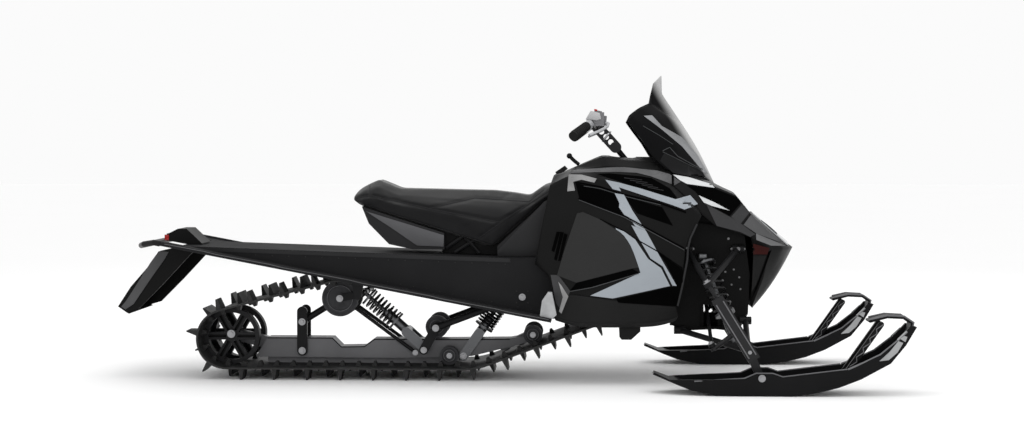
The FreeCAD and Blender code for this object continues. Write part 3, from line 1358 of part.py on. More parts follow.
bar_centre = V(bar_centre_x, 0, bar_centre_z)
riser_pieces = []
for side in (-1, 1):
    low, high = sorted((side * (riser_place - riser_thickness), side * riser_place))
    plate = strap((riser_base.x, riser_base.z), (bar_centre_x, bar_centre_z), riser_width, low, high)
    for n in range(3):
        hole = riser_base + (bar_centre - riser_base) * ((n + 1) / 4)
        plate = plate.cut(cross_rod(hole.x, hole.z, riser_width / 4, -2 * riser_place, 2 * riser_place))
    riser_pieces.append(plate)
riser_pieces.append(cross_rod(bar_centre_x, bar_centre_z, riser_width / 2, -riser_place, riser_place))
riser_pieces.append(cross_rod(riser_base.x, riser_base.z, riser_width / 2, -riser_place, riser_place))
riser = fused(riser_pieces)
riser = riser.cut(cross_rod(bar_centre_x, bar_centre_z, bar_radius + running_gap, -2 * riser_place,
                            2 * riser_place))
riser = riser.cut(Part.makeCylinder(column_radius + running_gap, 4 * column_radius,
                                    riser_base - column_axis * (4 * column_radius), column_axis))
save("handlebar_riser", riser)

half_bar = [V(bar_centre_x + bar_sweep * a, bar_half_width * b, bar_centre_z + bar_rise * c)
            for a, b, c in bar_shares]
bar_points = [V(p.x, -p.y, p.z) for p in reversed(half_bar)] + half_bar
bar = bent_rod(bar_points, bar_radius)
save("handlebar", bar)
grip_axis = (half_bar[3] - half_bar[2]).normalize()
grip_start = half_bar[3] - grip_axis * grip_length
grip_end = half_bar[3] + grip_axis * (grip_radius - bar_radius)
grip = rod(grip_start, grip_end, grip_radius)
grip = grip.cut(rod(half_bar[2], half_bar[3] + grip_axis * seat_gap, bar_radius + running_gap))
save("grip_left", grip)
save("grip_right", mirrored(grip))

pod = Part.makeBox(pod_width, pod_width, pod_height)
pod.translate(half_bar[1] + V(-pod_width / 2, bar_radius, -pod_height / 2))
bar_space = bent_rod(half_bar, bar_radius + running_gap)
pod = pod.cut(bar_space)
save("control_pod_left", pod)
save("control_pod_right", mirrored(pod))

for name, side, level in (("tie_rod_left", 1, -1), ("tie_rod_right", -1, 1)):
    outer = V(tie_outer.x, side * tie_outer.y, tie_outer.z)
    inner = tie_inner + column_axis * (level * tie_rod_spread)
    pieces = [rod(inner, outer, tie_rod_radius),
              ring_on(outer, king_axis, tie_rod_eye_radius, tie_rod_eye_length),
              ring_on(inner, column_axis, tie_rod_eye_radius, tie_rod_eye_length)]
    tie = fused(pieces)
    tie = tie.cut(ring_on(outer, king_axis, pitman_pin_radius + running_gap, 4 * tie_rod_eye_length))
    tie = tie.cut(ring_on(inner, column_axis, pitman_pin_radius + tie_rod_play, 2 * tie_rod_spread))
    save(name, tie)
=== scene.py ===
import math
import bmesh
import bpy
from mathutils import Matrix, Vector
from mathutils.bvhtree import BVHTree


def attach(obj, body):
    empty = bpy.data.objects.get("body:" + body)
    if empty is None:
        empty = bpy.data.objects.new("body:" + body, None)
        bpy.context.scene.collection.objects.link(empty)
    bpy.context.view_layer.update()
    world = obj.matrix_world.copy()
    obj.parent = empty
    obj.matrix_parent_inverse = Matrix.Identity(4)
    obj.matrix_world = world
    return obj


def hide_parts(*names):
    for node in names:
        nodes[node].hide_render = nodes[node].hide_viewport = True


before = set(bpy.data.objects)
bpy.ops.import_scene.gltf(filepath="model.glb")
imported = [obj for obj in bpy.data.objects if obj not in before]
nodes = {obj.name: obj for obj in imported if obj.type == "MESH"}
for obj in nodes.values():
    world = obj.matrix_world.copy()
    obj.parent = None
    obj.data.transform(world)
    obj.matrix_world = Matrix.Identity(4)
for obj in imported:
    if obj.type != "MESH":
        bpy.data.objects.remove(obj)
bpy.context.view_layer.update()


# Studio: a pale matt floor under the vehicle, one large softbox overhead, a long one on each
# side and a white surround. The camera stands to the right, a little above the seat, and looks
# at the vehicle's middle.
def shade(levels):
    """Linear colour from display levels of 0 to 255: one number for a grey, or three."""
    levels = levels if isinstance(levels, tuple) else (levels,) * 3
    linear = [((v / 255 + 0.055) / 1.055) ** 2.4 if v > 10 else v / 255 / 12.92 for v in levels]
    return (*linear, 1.0)


def fitted(node, settings):
    """The node with some of its sockets set."""
    for socket, value in settings.items():
        node.inputs[socket].default_value = value
    return node


def join(tree, *pairs):
    """Link each first socket to its second."""
    for source, target in pairs:
        tree.links.new(source, target)


def finish(name, levels, rough, grain=300.0, relief=0.1, metallic=0.0, spread=0.1, patches=5.0, coat=0.0,
           specular=0.09):
    """Finish with broad uneven colour, uneven gloss and a fine grain in the relief."""
    colour = shade(levels)[:3]
    gloss_spread = 0.06
    material = bpy.data.materials.new(name)
    material.use_nodes = True
    tree = material.node_tree
    shader = fitted(tree.nodes["Principled BSDF"],
                    {"Metallic": metallic, "Coat Weight": coat, "Specular IOR Level": specular})
    place = tree.nodes.new("ShaderNodeTexCoord").outputs["Object"]
    broad = fitted(tree.nodes.new("ShaderNodeTexNoise"), {"Scale": patches, "Detail": 5.0})
    fine = fitted(tree.nodes.new("ShaderNodeTexNoise"), {"Scale": grain, "Detail": 3.0})
    ramp = tree.nodes.new("ShaderNodeValToRGB")
    dark, light = ramp.color_ramp.elements
    dark.position, light.position = 0.3, 0.7
    dark.color = (*[c * (1 - spread) for c in colour], 1.0)
    light.color = (*[min(1.0, c * (1 + spread)) for c in colour], 1.0)
    gloss = fitted(tree.nodes.new("ShaderNodeMapRange"),
                   {"From Min": 0.3, "From Max": 0.7, "To Min": max(0.03, rough - gloss_spread),
                    "To Max": min(1.0, rough + gloss_spread)})
    bump = fitted(tree.nodes.new("ShaderNodeBump"), {"Strength": relief, "Distance": 0.0006})
    join(tree, (place, broad.inputs["Vector"]), (place, fine.inputs["Vector"]),
         (broad.outputs["Fac"], ramp.inputs["Fac"]), (ramp.outputs["Color"], shader.inputs["Base Color"]),
         (broad.outputs["Fac"], gloss.inputs["Value"]),
         (gloss.outputs["Result"], shader.inputs["Roughness"]),
         (fine.outputs["Fac"], bump.inputs["Height"]), (bump.outputs["Normal"], shader.inputs["Normal"]))
    return material


def softbox(name, place, target, size, power):
    lamp = bpy.data.lights.new(name, "AREA")
    lamp.shape = "RECTANGLE"
    lamp.size, lamp.size_y = size
    lamp.energy = power
    holder = bpy.data.objects.new(name, lamp)
    holder.location = place
    holder.rotation_euler = (Vector(target) - Vector(place)).to_track_quat("-Z", "Y").to_euler()
    bpy.context.scene.collection.objects.link(holder)


floor_reach = 40.0
floor_drop = 0.0006
floor_mesh = bmesh.new()
bmesh.ops.create_grid(floor_mesh, x_segments=8, y_segments=8, size=floor_reach)
bmesh.ops.translate(floor_mesh, verts=floor_mesh.verts, vec=(0, 0, -floor_drop))
floor_data = bpy.data.meshes.new("studio_floor")
floor_mesh.to_mesh(floor_data)
floor_mesh.free()
floor = bpy.data.objects.new("studio_floor", floor_data)
floor.data.materials.append(finish("matt_floor", 252, 0.9, grain=60.0, relief=0.03, spread=0.004,
                                   patches=0.4, specular=0.1))
bpy.context.scene.collection.objects.link(floor)

softbox("overhead_box", (0.1, -0.9, 3.6), (0.1, 0.0, 0.4), (3.6, 1.6), 30.0)
softbox("right_box", (-0.4, -5.0, 2.6), (0.2, 0.0, 0.5), (4.0, 1.2), 14.0)
softbox("left_box", (0.6, 5.0, 2.8), (0.1, 0.0, 0.5), (4.0, 1.4), 24.0)


def either(tree, first, second):
    """The larger of two values."""
    node = tree.nodes.new("ShaderNodeMath")
    node.operation = "MAXIMUM"
    join(tree, (first, node.inputs[0]), (second, node.inputs[1]))
    return node.outputs[0]


def glow(tree, colour):
    """Plain light of one colour at full strength."""
    return fitted(tree.nodes.new("ShaderNodeBackground"), {"Color": colour, "Strength": 1.0}).outputs[0]


world = bpy.data.worlds.new("surround")
bpy.context.scene.world = world
world.use_nodes = True
surround = world.node_tree
surround.nodes.clear()
rays = surround.nodes.new("ShaderNodeLightPath").outputs
seen_or_glossy = either(surround, rays["Is Camera Ray"], rays["Is Glossy Ray"])
pick = surround.nodes.new("ShaderNodeMixShader")
world_out = surround.nodes.new("ShaderNodeOutputWorld")
join(surround, (either(surround, seen_or_glossy, rays["Is Transmission Ray"]), pick.inputs[0]),
     (glow(surround, (1, 1, 1, 1)), pick.inputs[1]), (glow(surround, shade(251)), pick.inputs[2]),
     (pick.outputs[0], world_out.inputs["Surface"]))

view = bpy.data.cameras.new("side_camera")
view.lens = 59.13
view.sensor_width = 36.0
camera = bpy.data.objects.new("side_camera", view)
camera.location = (0.3045, -6.6, 0.8792)
looks_down, turned = 2.23, 2.483
camera.rotation_euler = (math.radians(90 - looks_down), 0, math.radians(turned))
bpy.context.scene.collection.objects.link(camera)
bpy.context.scene.camera = camera
bpy.context.scene.view_settings.view_transform = "Standard"


# Tunnel and running boards: folded aluminium sheet with black powder coat, riveted along the
# folds; the boards are pressed with round-ended drain slots and end in a rolled tube.
def coat(material, *names):
    """Give carried-over frame parts their finish."""
    for name in names:
        nodes[name].material_slots[0].material = material


def put(name, bm, material, body="chassis", sharp=35.0):
    """Turn a finished bmesh into a piece of the vehicle that moves with a body."""
    data = bpy.data.meshes.new(name)
    bm.normal_update()
    bm.to_mesh(data)
    bm.free()
    data.polygons.foreach_set("use_smooth", [True] * len(data.polygons))
    data.set_sharp_from_angle(angle=math.radians(sharp))
    data.materials.append(material)
    piece = bpy.data.objects.new(name, data)
    bpy.context.scene.collection.objects.link(piece)
    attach(piece, body)
    return piece


def turn_to(direction):
    return Vector(direction).to_track_quat("Z", "Y").to_matrix().to_4x4()


def add_bolt(bm, place, direction, radius):
    """Hex bolt head on a round washer, standing on a surface."""
    height = radius * 0.7
    stand = Matrix.Translation(Vector(place)) @ turn_to(direction)
    washer_height = radius * 0.3
    bmesh.ops.create_cone(bm, cap_ends=True, segments=20, radius1=radius * 1.6, radius2=radius * 1.55,
                          depth=washer_height, matrix=stand @ Matrix.Translation((0, 0, washer_height / 2)))
    bmesh.ops.create_cone(bm, cap_ends=True, segments=6, radius1=radius, radius2=radius * 0.94, depth=height,
                          matrix=stand @ Matrix.Translation((0, 0, washer_height + height / 2)))


def add_rivet(bm, place, direction, radius):
    """Low domed rivet head."""
    stand = Matrix.Translation(Vector(place)) @ turn_to(direction) @ Matrix.Diagonal((1, 1, 0.45, 1))
    bmesh.ops.create_uvsphere(bm, u_segments=10, v_segments=6, radius=radius, matrix=stand)


def add_tube(bm, points, radius, segments=8):
    """Round bar along a smooth run of points."""
    curve = bpy.data.curves.new("run", "CURVE")
    curve.dimensions = "3D"
    curve.bevel_depth = radius
    curve.bevel_resolution = max(1, segments // 4)
    curve.use_fill_caps = True
    spline = curve.splines.new("POLY")
    spline.points.add(len(points) - 1)
    for point, place in zip(spline.points, points):
        point.co = (*place, 1.0)
    holder = bpy.data.objects.new("run", curve)
    mesh = bpy.data.meshes.new_from_object(holder)
    bm.from_mesh(mesh)
    bpy.data.objects.remove(holder)
    bpy.data.curves.remove(curve)
    bpy.data.meshes.remove(mesh)


def round_edges(bm, geom, offset):
    bmesh.ops.bevel(bm, geom=geom, offset=offset, offset_type="OFFSET", segments=2, profile=0.5,
                    affect="EDGES", material=-1)


def add_block(bm, place, size, turn=0.0, edge=0.002):
    """Moulded block with rounded edges, turned about Y."""
    stand = Matrix.Translation(Vector(place)) @ Matrix.Rotation(turn, 4, "Y") @ Matrix.Diagonal((*size, 1))
    made = bmesh.ops.create_cube(bm, size=1.0, matrix=stand)["verts"]
    edges = list({e for v in made for e in v.link_edges})
    round_edges(bm, made + edges, edge)


def upright(outline, y, rise=0.0):
    """Places of an (x, z) outline that stands in the plane at y."""
    return [Vector((x, y, z + rise)) for x, z in outline]


def thicken(bm, faces, move):
    """Draw faces out into closed plates that face outwards."""
    raised = bmesh.ops.extrude_face_region(bm, geom=faces)["geom"]
    tips = [g for g in raised if isinstance(g, bmesh.types.BMVert)]
    bmesh.ops.translate(bm, verts=tips, vec=move)
    bmesh.ops.recalc_face_normals(bm, faces=bm.faces[:])


def add_plate(bm, corners, rise):
    """Plate on a ring of corners, drawn out along Y."""
    thicken(bm, [bm.faces.new([bm.verts.new(corner) for corner in corners])], (0, rise, 0))


def skin_tree(pieces):
    """Search tree over the finished surfaces of some panels."""
    graph = bpy.context.evaluated_depsgraph_get()
    corners, faces = [], []
    for piece in pieces:
        mesh = bpy.data.meshes.new_from_object(piece.evaluated_get(graph))
        first = len(corners)
        corners += [piece.matrix_world @ v.co for v in mesh.vertices]
        faces += [[first + i for i in p.vertices] for p in mesh.polygons]
        bpy.data.meshes.remove(mesh)
    return BVHTree.FromPolygons(corners, faces)


def seen_from_right(tree, x, z):
    """Point of a skin that a line along +Y meets first at (x, z), or None."""
    return tree.ray_cast(Vector((x, -1.0, z)), Vector((0, 1, 0)))[0]


sheet_black = finish("black_sheet", (34, 34, 35), 0.65, grain=500.0, relief=0.12, spread=0.12,
                     specular=0.04)
fold_grey = finish("fold_grey", (42, 42, 43), 0.4, grain=500.0, relief=0.08, spread=0.12)
rivet_dark = finish("rivet_dark", 22, 0.4, grain=700.0, specular=0.3)
bolt_steel = finish("bolt_steel", (150, 150, 152), 0.3, grain=900.0, metallic=0.9)
bolt_dull = finish("bolt_dull", (112, 112, 113), 0.4, grain=900.0, metallic=0.9)
coat(sheet_black, "tunnel", "running_board_left", "running_board_right")

tunnel_half = 0.200
fold_rivet, lug_rivet = 0.0024, 0.003
fold_start, fold_pitch, board_start, board_pitch = -1.15, 0.064, -0.45, 0.05
below_fold, above_board = 0.024, 0.012
pivot_x, pivot_z, pivot_pitch, pivot_bolt = 0.066, 0.326, 0.022, 0.0085


def fold_height(x):
    """Height of the tunnel's upper fold."""
    return 0.518 - 0.0339 * (x + 1.256)


def board_height(x):
    """Height at which the running board meets the tunnel."""
    return 0.533 - 0.1905 * (x + 1.3)


tunnel_rivets = bmesh.new()
pivot_bolts = bmesh.new()
for side in (-1, 1):
    wall = side * tunnel_half
    for x in [fold_start + n * fold_pitch for n in range(19)]:
        add_rivet(tunnel_rivets, (x, wall, fold_height(x) - below_fold), (0, side, 0), fold_rivet)
    for x in [board_start + n * board_pitch for n in range(12)]:
        add_rivet(tunnel_rivets, (x, wall, board_height(x) + above_board), (0, side, 0), fold_rivet)
    for dx, dz in ((-1, 1), (1, 1), (-1, -1), (1, -1)):
        spot = (pivot_x + dx * pivot_pitch, wall, pivot_z + dz * pivot_pitch)
        add_rivet(tunnel_rivets, spot, (0, side, 0), lug_rivet)
    add_bolt(pivot_bolts, (pivot_x, wall, pivot_z), (0, side, 0), pivot_bolt)
put("tunnel_rivets", tunnel_rivets, rivet_dark)
put("tunnel_pivot_bolts", pivot_bolts, bolt_steel)

lip_top, lip_foot, lip_gap, lip_thickness = 0.0012, 0.0165, 0.0004, 0.0012
fold_lips = bmesh.new()
for side in (-1, 1):
    for x0, x1 in ((-1.19, -0.66), (-0.66, 0.02)):
        ends = [(x0, lip_top), (x1, lip_top), (x1, lip_foot), (x0, lip_foot)]
        strip = [(x, fold_height(x) - drop) for x, drop in ends]
        add_plate(fold_lips, upright(strip, side * (tunnel_half + lip_gap)), side * lip_thickness)
put("tunnel_fold_lips", fold_lips, fold_grey)

# Painted highlight: a thin grey tube along the crest of each board's rolled edge stands for the light the
# edge catches.
board_edge_highlight_grey = finish("board_edge_highlight_grey", (84, 84, 85), 0.4, grain=500.0, relief=0.08, spread=0.12)
board_highlight_radius, board_highlight_clear, board_highlight_rise = 0.0014, 0.0003, 0.003
crest_start, crest_pitch, crest_foot, crest_step = -1.28, 0.05, 0.22, 0.003
board_wall = skin_tree([nodes["running_board_right"]])
crest = []
for x in [crest_start + n * crest_pitch for n in range(30)]:
    hits = [seen_from_right(board_wall, x, crest_foot + k * crest_step) for k in range(110)]
    crest.append(min([hit for hit in hits if hit is not None], key=lambda hit: hit.y))
board_edge_highlights = bmesh.new()
for side in (-1, 1):
    add_tube(board_edge_highlights, [Vector((p.x, side * (board_highlight_clear - p.y), p.z + board_highlight_rise)) for p in crest],
             board_highlight_radius)
put("board_edge_highlights", board_edge_highlights, board_edge_highlight_grey)


# Rear end: a bent steel tube bumper, a moulded black snow flap whose outer blade carries a
# painted light grey for its lit side, and the tail lamp housing with its clear red lens.
tube_black = finish("black_tube", (28, 28, 29), 0.36, grain=600.0, spread=0.15)
flap_black = finish("flap_black", 14, 0.5, grain=260.0, relief=0.3, spread=0.2)
lens_red = finish("clear_red", (150, 22, 20), 0.12, grain=200.0, coat=0.5)
coat(tube_black, "rear_bumper")
coat(flap_black, "snow_flap", "tail_lamp")
coat(lens_red, "tail_lens")

# Painted light: a grey plate on each side of the flap's outer blade stands for its lit face.
flap_lit_grey = finish("flap_lit_grey", (74, 74, 75), 0.45, grain=260.0, relief=0.2, spread=0.15)
blade_y, blade_thickness = 0.1824, 0.004
blade_line = [(-1.338, 0.497), (-1.371, 0.452), (-1.408, 0.395), (-1.440, 0.345), (-1.470, 0.300),
              (-1.486, 0.282), (-1.470, 0.271), (-1.438, 0.292), (-1.405, 0.340), (-1.360, 0.405),
              (-1.318, 0.462), (-1.300, 0.494)]
flap_blades = bmesh.new()
for side in (-1, 1):
    add_plate(flap_blades, upright(blade_line, side * blade_y), side * blade_thickness)
put("flap_blades", flap_blades, flap_lit_grey)

lamp_lips = bmesh.new()
for z in (0.531, 0.558):
    add_block(lamp_lips, (-1.3355, 0, z), (0.006, 0.118, 0.0022), edge=0.0006)
put("tail_lamp_lips", lamp_lips, rivet_dark)
lamp_sides = bmesh.new()
for side in (-1, 1):
    add_block(lamp_sides, (-1.334, side * 0.0757, 0.5445), (0.017, 0.003, 0.022), edge=0.001)
put("tail_lamp_sides", lamp_sides, lens_red)


# Track: one belt of black rubber with a dusty bloom, its cross lugs and drive lugs moulded in
# one with it. It is closed round the wheels and driven by the two sprockets at the front.
track_rubber = finish("track_rubber", 32, 0.62, grain=220.0, relief=0.5, spread=0.3, patches=14.0,
                      specular=0.35)
coat(track_rubber, "track")


# Track suspension: a satin aluminium beam with nylon runner, moulded wheels with worn grey
# faces, black powder-coated arms and rods, and two gas dampers with coil springs.
beam_metal = finish("satin_beam", (101, 101, 103), 0.42, grain=700.0, relief=0.15, metallic=0.1,
                    spread=0.16, specular=0.2)
beam_lip = finish("beam_lip", (24, 24, 25), 0.45, grain=700.0, spread=0.12)
wheel_black = finish("wheel_black", (38, 38, 39), 0.5, relief=0.3, spread=0.2)
idler_grey = finish("idler_grey", (58, 58, 60), 0.5, relief=0.3, spread=0.22, patches=30.0)
arm_black = finish("arm_black", (27, 27, 28), 0.36, grain=600.0, relief=0.12, spread=0.18)
damper_grey = finish("damper_metal", (96, 97, 99), 0.3, grain=700.0, metallic=0.8, spread=0.12)
spring_black = finish("spring_black", (24, 24, 25), 0.25, grain=500.0, relief=0.08, spread=0.15, coat=0.3)
web_black = finish("web_black", 20, 0.6, relief=0.3, spread=0.2)
ring_grey = finish("ring_grey", (96, 96, 98), 0.4, grain=400.0, spread=0.15)
coat(beam_metal, "rail_beam")
coat(wheel_black, "rear_wheels")
coat(idler_grey, "idler_wheels")
coat(arm_black, "rear_axle", "suspension_hanger", "rear_arm", "front_arm", "idler_brackets", "pull_rods",
     "rear_link", "drive_axle")
coat(damper_grey, "track_dampers")
coat(spring_black, "rear_spring", "centre_spring")

beam_half, beam_lip_drop, beam_lip_radius = 0.038, 0.003, 0.0022
beam_line = [(-0.944, 0.1499), (-0.688, 0.1499), (-0.652, 0.1150), (-0.561, 0.1168), (-0.522, 0.1462),
             (-0.202, 0.1462), (0.012, 0.1490)]
beam_lips = bmesh.new()
for side in (-1, 1):
    add_tube(beam_lips, upright(beam_line, side * beam_half, -beam_lip_drop), beam_lip_radius)
put("beam_lips", beam_lips, beam_lip)

# Each row: x, z, distance from the middle, radius of the axle or bolt.
axle_ends = ((-1.078, 0.168, 0.091, 0.014), (-0.651, 0.308, 0.0891, 0.012), (-0.272, 0.198, 0.131, 0.012),
             (-0.223, 0.085, 0.080, 0.010), (0.103, 0.168, 0.080, 0.010))
link_ends = ((-0.806, 0.212, 0.0483, 0.009), (-0.806, 0.098, 0.0483, 0.009), (-0.322, 0.108, 0.0935, 0.008),
             (-0.358, 0.094, 0.0606, 0.007), (-0.171, 0.080, 0.0463, 0.009))
axle_bolts = bmesh.new()
for ends, head_share in ((axle_ends, 0.72), (link_ends, 1.0)):
    for x, z, reach, radius in ends:
        for side in (-1, 1):
            add_bolt(axle_bolts, (x, side * reach, z), (0, side, 0), radius * head_share)
put("axle_bolts", axle_bolts, bolt_steel)


def circle(middle, across, up, steps):
    """Closed run of places round a middle; across and up are its half axes."""
    angles = [2 * math.pi * k / steps for k in range(steps + 1)]
    return [Vector(middle) + Vector(across) * math.cos(a) + Vector(up) * math.sin(a) for a in angles]


ring_y, ring_wire = 0.0801, 0.0016
wheel_rings = bmesh.new()
for x, z, radius in ((-0.651, 0.308, 0.050), (-0.272, 0.198, 0.026), (-0.223, 0.085, 0.022),
                     (0.103, 0.1694, 0.022)):
    for side in (-1, 1):
        add_tube(wheel_rings, circle((x, side * ring_y, z), (radius, 0, 0), (0, 0, radius), 36), ring_wire)
wheel_x, wheel_z, web_y, web_radius = -1.078, 0.1583, 0.066, 0.061
web_size = (0.072, 0.006, 0.0116)
spoke_webs = bmesh.new()
for side in (-1, 1):
    for angle in [math.radians(60 * n) for n in range(6)]:
        ahead, up = web_radius * math.cos(angle), web_radius * math.sin(angle)
        add_block(spoke_webs, (wheel_x + ahead, side * web_y, wheel_z + up), web_size, turn=-angle,
                  edge=0.0008)
put("spoke_webs", spoke_webs, web_black)
put("wheel_rings", wheel_rings, ring_grey)


# Engine and front frame: a cast engine block, and a welded frame of black powder-coated plate
# that carries the front arms, the dampers and the steering bearing.
engine_cast = finish("engine_cast", (120, 120, 122), 0.5, grain=250.0, relief=0.5, metallic=0.6, spread=0.2)
coat(engine_cast, "engine")
frame_black = finish("frame_black", 12, 0.5, grain=500.0, relief=0.15, spread=0.3)
coat(frame_black, "front_frame")
coat(arm_black, "upper_arms", "lower_arms")

plate_half = 0.145
frame_bolts = bmesh.new()
for side in (-1, 1):
    for x, z, radius in ((0.842, 0.421, 0.0024), (0.874, 0.430, 0.0024), (0.895, 0.400, 0.0024),
                         (0.832, 0.388, 0.0027), (0.866, 0.372, 0.0024), (0.900, 0.355, 0.0024),
                         (0.853, 0.548, 0.003), (0.690, 0.560, 0.003)):
        add_bolt(frame_bolts, (x, side * plate_half, z), (0, side, 0), radius)
put("frame_bolts", frame_bolts, bolt_dull)

pivot_height, pin_y, boss_y = 0.510, 0.1603, 0.1753
pin_bolt, boss_bolt = 0.006, 0.005
arm_bolts = bmesh.new()
for side in (-1, 1):
    for x, ahead in ((0.7162, 1), (0.9102, 1), (0.8658, -1), (0.6718, -1)):
        add_bolt(arm_bolts, (x, side * pin_y, pivot_height), (ahead, 0, 0), pin_bolt)
    for x in (0.888, 0.694):
        add_bolt(arm_bolts, (x, side * boss_y, pivot_height), (0, side, 0), boss_bolt)
put("arm_bolts", arm_bolts, bolt_dull)

cover_y, cover_thickness = 0.128, 0.002
lower_cover = [(0.66, 0.205), (0.66, 0.36), (0.90, 0.36), (0.90, 0.205), (0.815, 0.205), (0.815, 0.293),
               (0.761, 0.293), (0.761, 0.205)]
upper_cover = [(0.655, 0.575), (0.655, 0.665), (0.76, 0.665), (0.86, 0.625), (0.90, 0.590), (0.90, 0.560)]
bay_cover = bmesh.new()
for side in (-1, 1):
    for rim in (lower_cover, upper_cover):
        add_plate(bay_cover, upright(rim, side * cover_y), side * cover_thickness)
add_block(bay_cover, (0.780, 0.0, 0.227), (0.220, 0.004, 0.050), edge=0.001)
put("bay_covers", bay_cover, frame_black)


# Front suspension: black arms, forged spindles with a satin face, tie rods, and gas dampers
# with black coil springs, all bolted through rubber bushes.
spindle_metal = finish("spindle_metal", (44, 44, 45), 0.34, grain=500.0, relief=0.15, metallic=0.2,
                       spread=0.15)
coat(spindle_metal, "spindle_left", "spindle_right")
coat(arm_black, "tie_rod_left", "tie_rod_right")


def mirrored(place, side):
    """A place of the left side, or the same one on the right."""
    return Vector((place[0], side * place[1], place[2]))


lean_angle = math.radians(31.5)
king = Vector((-math.sin(lean_angle), 0.0, math.cos(lean_angle)))
foot_x, foot_z, joint_z, joint_y = 0.949, 0.079, 0.392, 0.409
ski_bolt, tie_eye = (0.942, 0.5451, 0.065), (0.7715, 0.410, 0.1697)
stud_z, stud_reach, joint_lift, eye_lift = 0.150, 0.064, 0.0086, 0.0062
joint_nut, ski_nut, stud_nut, eye_nut = 0.010, 0.0085, 0.0045, 0.0075
strip_y, strip_half, strip_radius, strip_low, strip_high = 0.4732, 0.0145, 0.0022, 0.135, 0.330
for side, body in ((-1, "spindle_right"), (1, "spindle_left")):
    nuts = bmesh.new()
    joint = Vector((foot_x - (joint_z - foot_z) * math.tan(lean_angle), side * joint_y, joint_z))
    add_bolt(nuts, joint + king * joint_lift, king, joint_nut)
    add_bolt(nuts, mirrored(ski_bolt, side), (0, side, 0), ski_nut)
    lower_stud = joint - king * ((joint_z - stud_z) / king.z)
    add_bolt(nuts, lower_stud + Vector((0, side * stud_reach, 0)), (0, side, 0), stud_nut)
    add_bolt(nuts, mirrored(tie_eye, side) + king * eye_lift, king, eye_nut)
    put("spindle_nuts_" + body[8:], nuts, bolt_steel, body)
    strips = bmesh.new()
    for across in (-strip_half, strip_half):
        start = Vector((foot_x, side * strip_y, foot_z)) + Vector((king.z, 0, -king.x)) * across
        low, high = (start + king * ((z - foot_z) / king.z) for z in (strip_low, strip_high))
        add_tube(strips, [low, high], strip_radius)
    strip_grey = finish("strip_grey_" + body[8:], (112, 112, 114), 0.35, grain=500.0, spread=0.12)
    put("spindle_strips_" + body[8:], strips, strip_grey, body)
coat(damper_grey, "ski_damper_left", "ski_damper_right")
coat(spring_black, "ski_spring_left", "ski_spring_right")


# Skis: black moulded plastic with upturned tips, a carrying loop and a trussed strut, each held by
# one bolt through its saddle. Grey and pale grey tubes and plates along their edges and over the
# tips are painted highlights.
ski_black = finish("ski_black", (17, 17, 18), 0.4, grain=350.0, relief=0.25, spread=0.2)
coat(ski_black, "ski_left", "ski_right")

# Painted highlights: grey tubes along the rim, the tip walls, the loop and the truss ribs, and pale tubes
# and plates on the upturned tip, stand for the light these edges and faces catch.
ski_highlight_grey = finish("ski_painted_edge_highlight", (104, 104, 106), 0.35, grain=350.0, relief=0.15, spread=0.2, patches=9.0)
ski_tip_highlight_grey = finish("ski_tip_highlight_grey", (156, 157, 158), 0.3, grain=350.0, relief=0.15, spread=0.12, patches=12.0)
rim_line = [(0.700, 0.0525), (0.880, 0.0640), (0.922, 0.0825), (0.981, 0.0825), (1.017, 0.0700),
            (1.246, 0.0985)]
tip_line = [(1.250, 0.0985), (1.310, 0.124), (1.367, 0.151), (1.429, 0.201), (1.462, 0.232)]
loop_line = [(1.340, 0.2765), (1.396, 0.2895), (1.457, 0.2865), (1.491, 0.2640), (1.481, 0.2260)]
tip_highlight_outline = [(1.362, 0.128), (1.400, 0.163), (1.431, 0.200), (1.449, 0.193), (1.428, 0.159), (1.396, 0.132)]
tip_end_highlight_outline = [(1.438, 0.208), (1.447, 0.220), (1.464, 0.215), (1.457, 0.196)]
ski_y, rim_y, strut_y, taper = 0.456, 0.0815, 0.0375, 0.10
rim_radius, tip_radius, loop_radius, tip_highlight_radius, truss_radius = 0.0026, 0.0036, 0.0034, 0.0042, 0.0018
truss_foot, truss_lean, truss_step, truss_half = (1.271, 0.104), 0.70, 0.017, 0.007
truss_drop, truss_clear, highlight_in, highlight_up = 0.002, 0.0001, 0.001, 0.002
highlight_lift, highlight_thickness, highlight_reach = 0.0006, 0.0012, 0.07
ski_wall = skin_tree([nodes["ski_right"]])
for side, body in ((-1, "spindle_right"), (1, "spindle_left")):
    edges = bmesh.new()
    pale = bmesh.new()
    middle = side * ski_y
    for out in (-1, 1):
        tip_walls = [(x, out * (rim_y - taper * (x - tip_line[0][0])), z) for x, z in tip_line]
        add_tube(edges, upright(rim_line, middle + out * rim_y), rim_radius)
        add_tube(edges, [Vector((x, middle + y, z)) for x, y, z in tip_walls], tip_radius)
        add_tube(edges, upright(loop_line, middle + out * strut_y), loop_radius)
        tip_highlight_line = [Vector((x, middle + y - out * highlight_in, z + highlight_up)) for x, y, z in tip_walls[3:]]
        add_tube(pale, tip_highlight_line, tip_highlight_radius)
        truss = []
        for n in range(10):
            rise = truss_step * n
            x = truss_foot[0] + (rise - truss_drop) * truss_lean + (truss_half if n % 2 else -truss_half)
            truss.append(Vector((x, middle + out * (strut_y + truss_clear), truss_foot[1] + rise)))
        add_tube(edges, truss, truss_radius)
        for outline in (tip_highlight_outline, tip_end_highlight_outline):
            rim = []
            for x, z in outline:
                hit = seen_from_right(ski_wall, x, z)
                half = ski_y + hit.y if hit is not None else -highlight_reach
                rim.append((x, middle - out * (half - highlight_lift), z))
            add_plate(pale, rim, out * highlight_thickness)
    put("ski_painted_edge_lines_" + body[8:], edges, ski_highlight_grey, body)
    put("ski_painted_tip_highlights_" + body[8:], pale, ski_tip_highlight_grey, body)


# Seat pan and fuel tank: blow-moulded black plastic with a fine moulded grain, grey side covers,
# and steel struts in a dark well below the seat.
pan_black = finish("pan_black", (38, 38, 39), 0.55, grain=420.0, relief=0.35, spread=0.15)
coat(pan_black, "seat_pan", "fuel_tank")

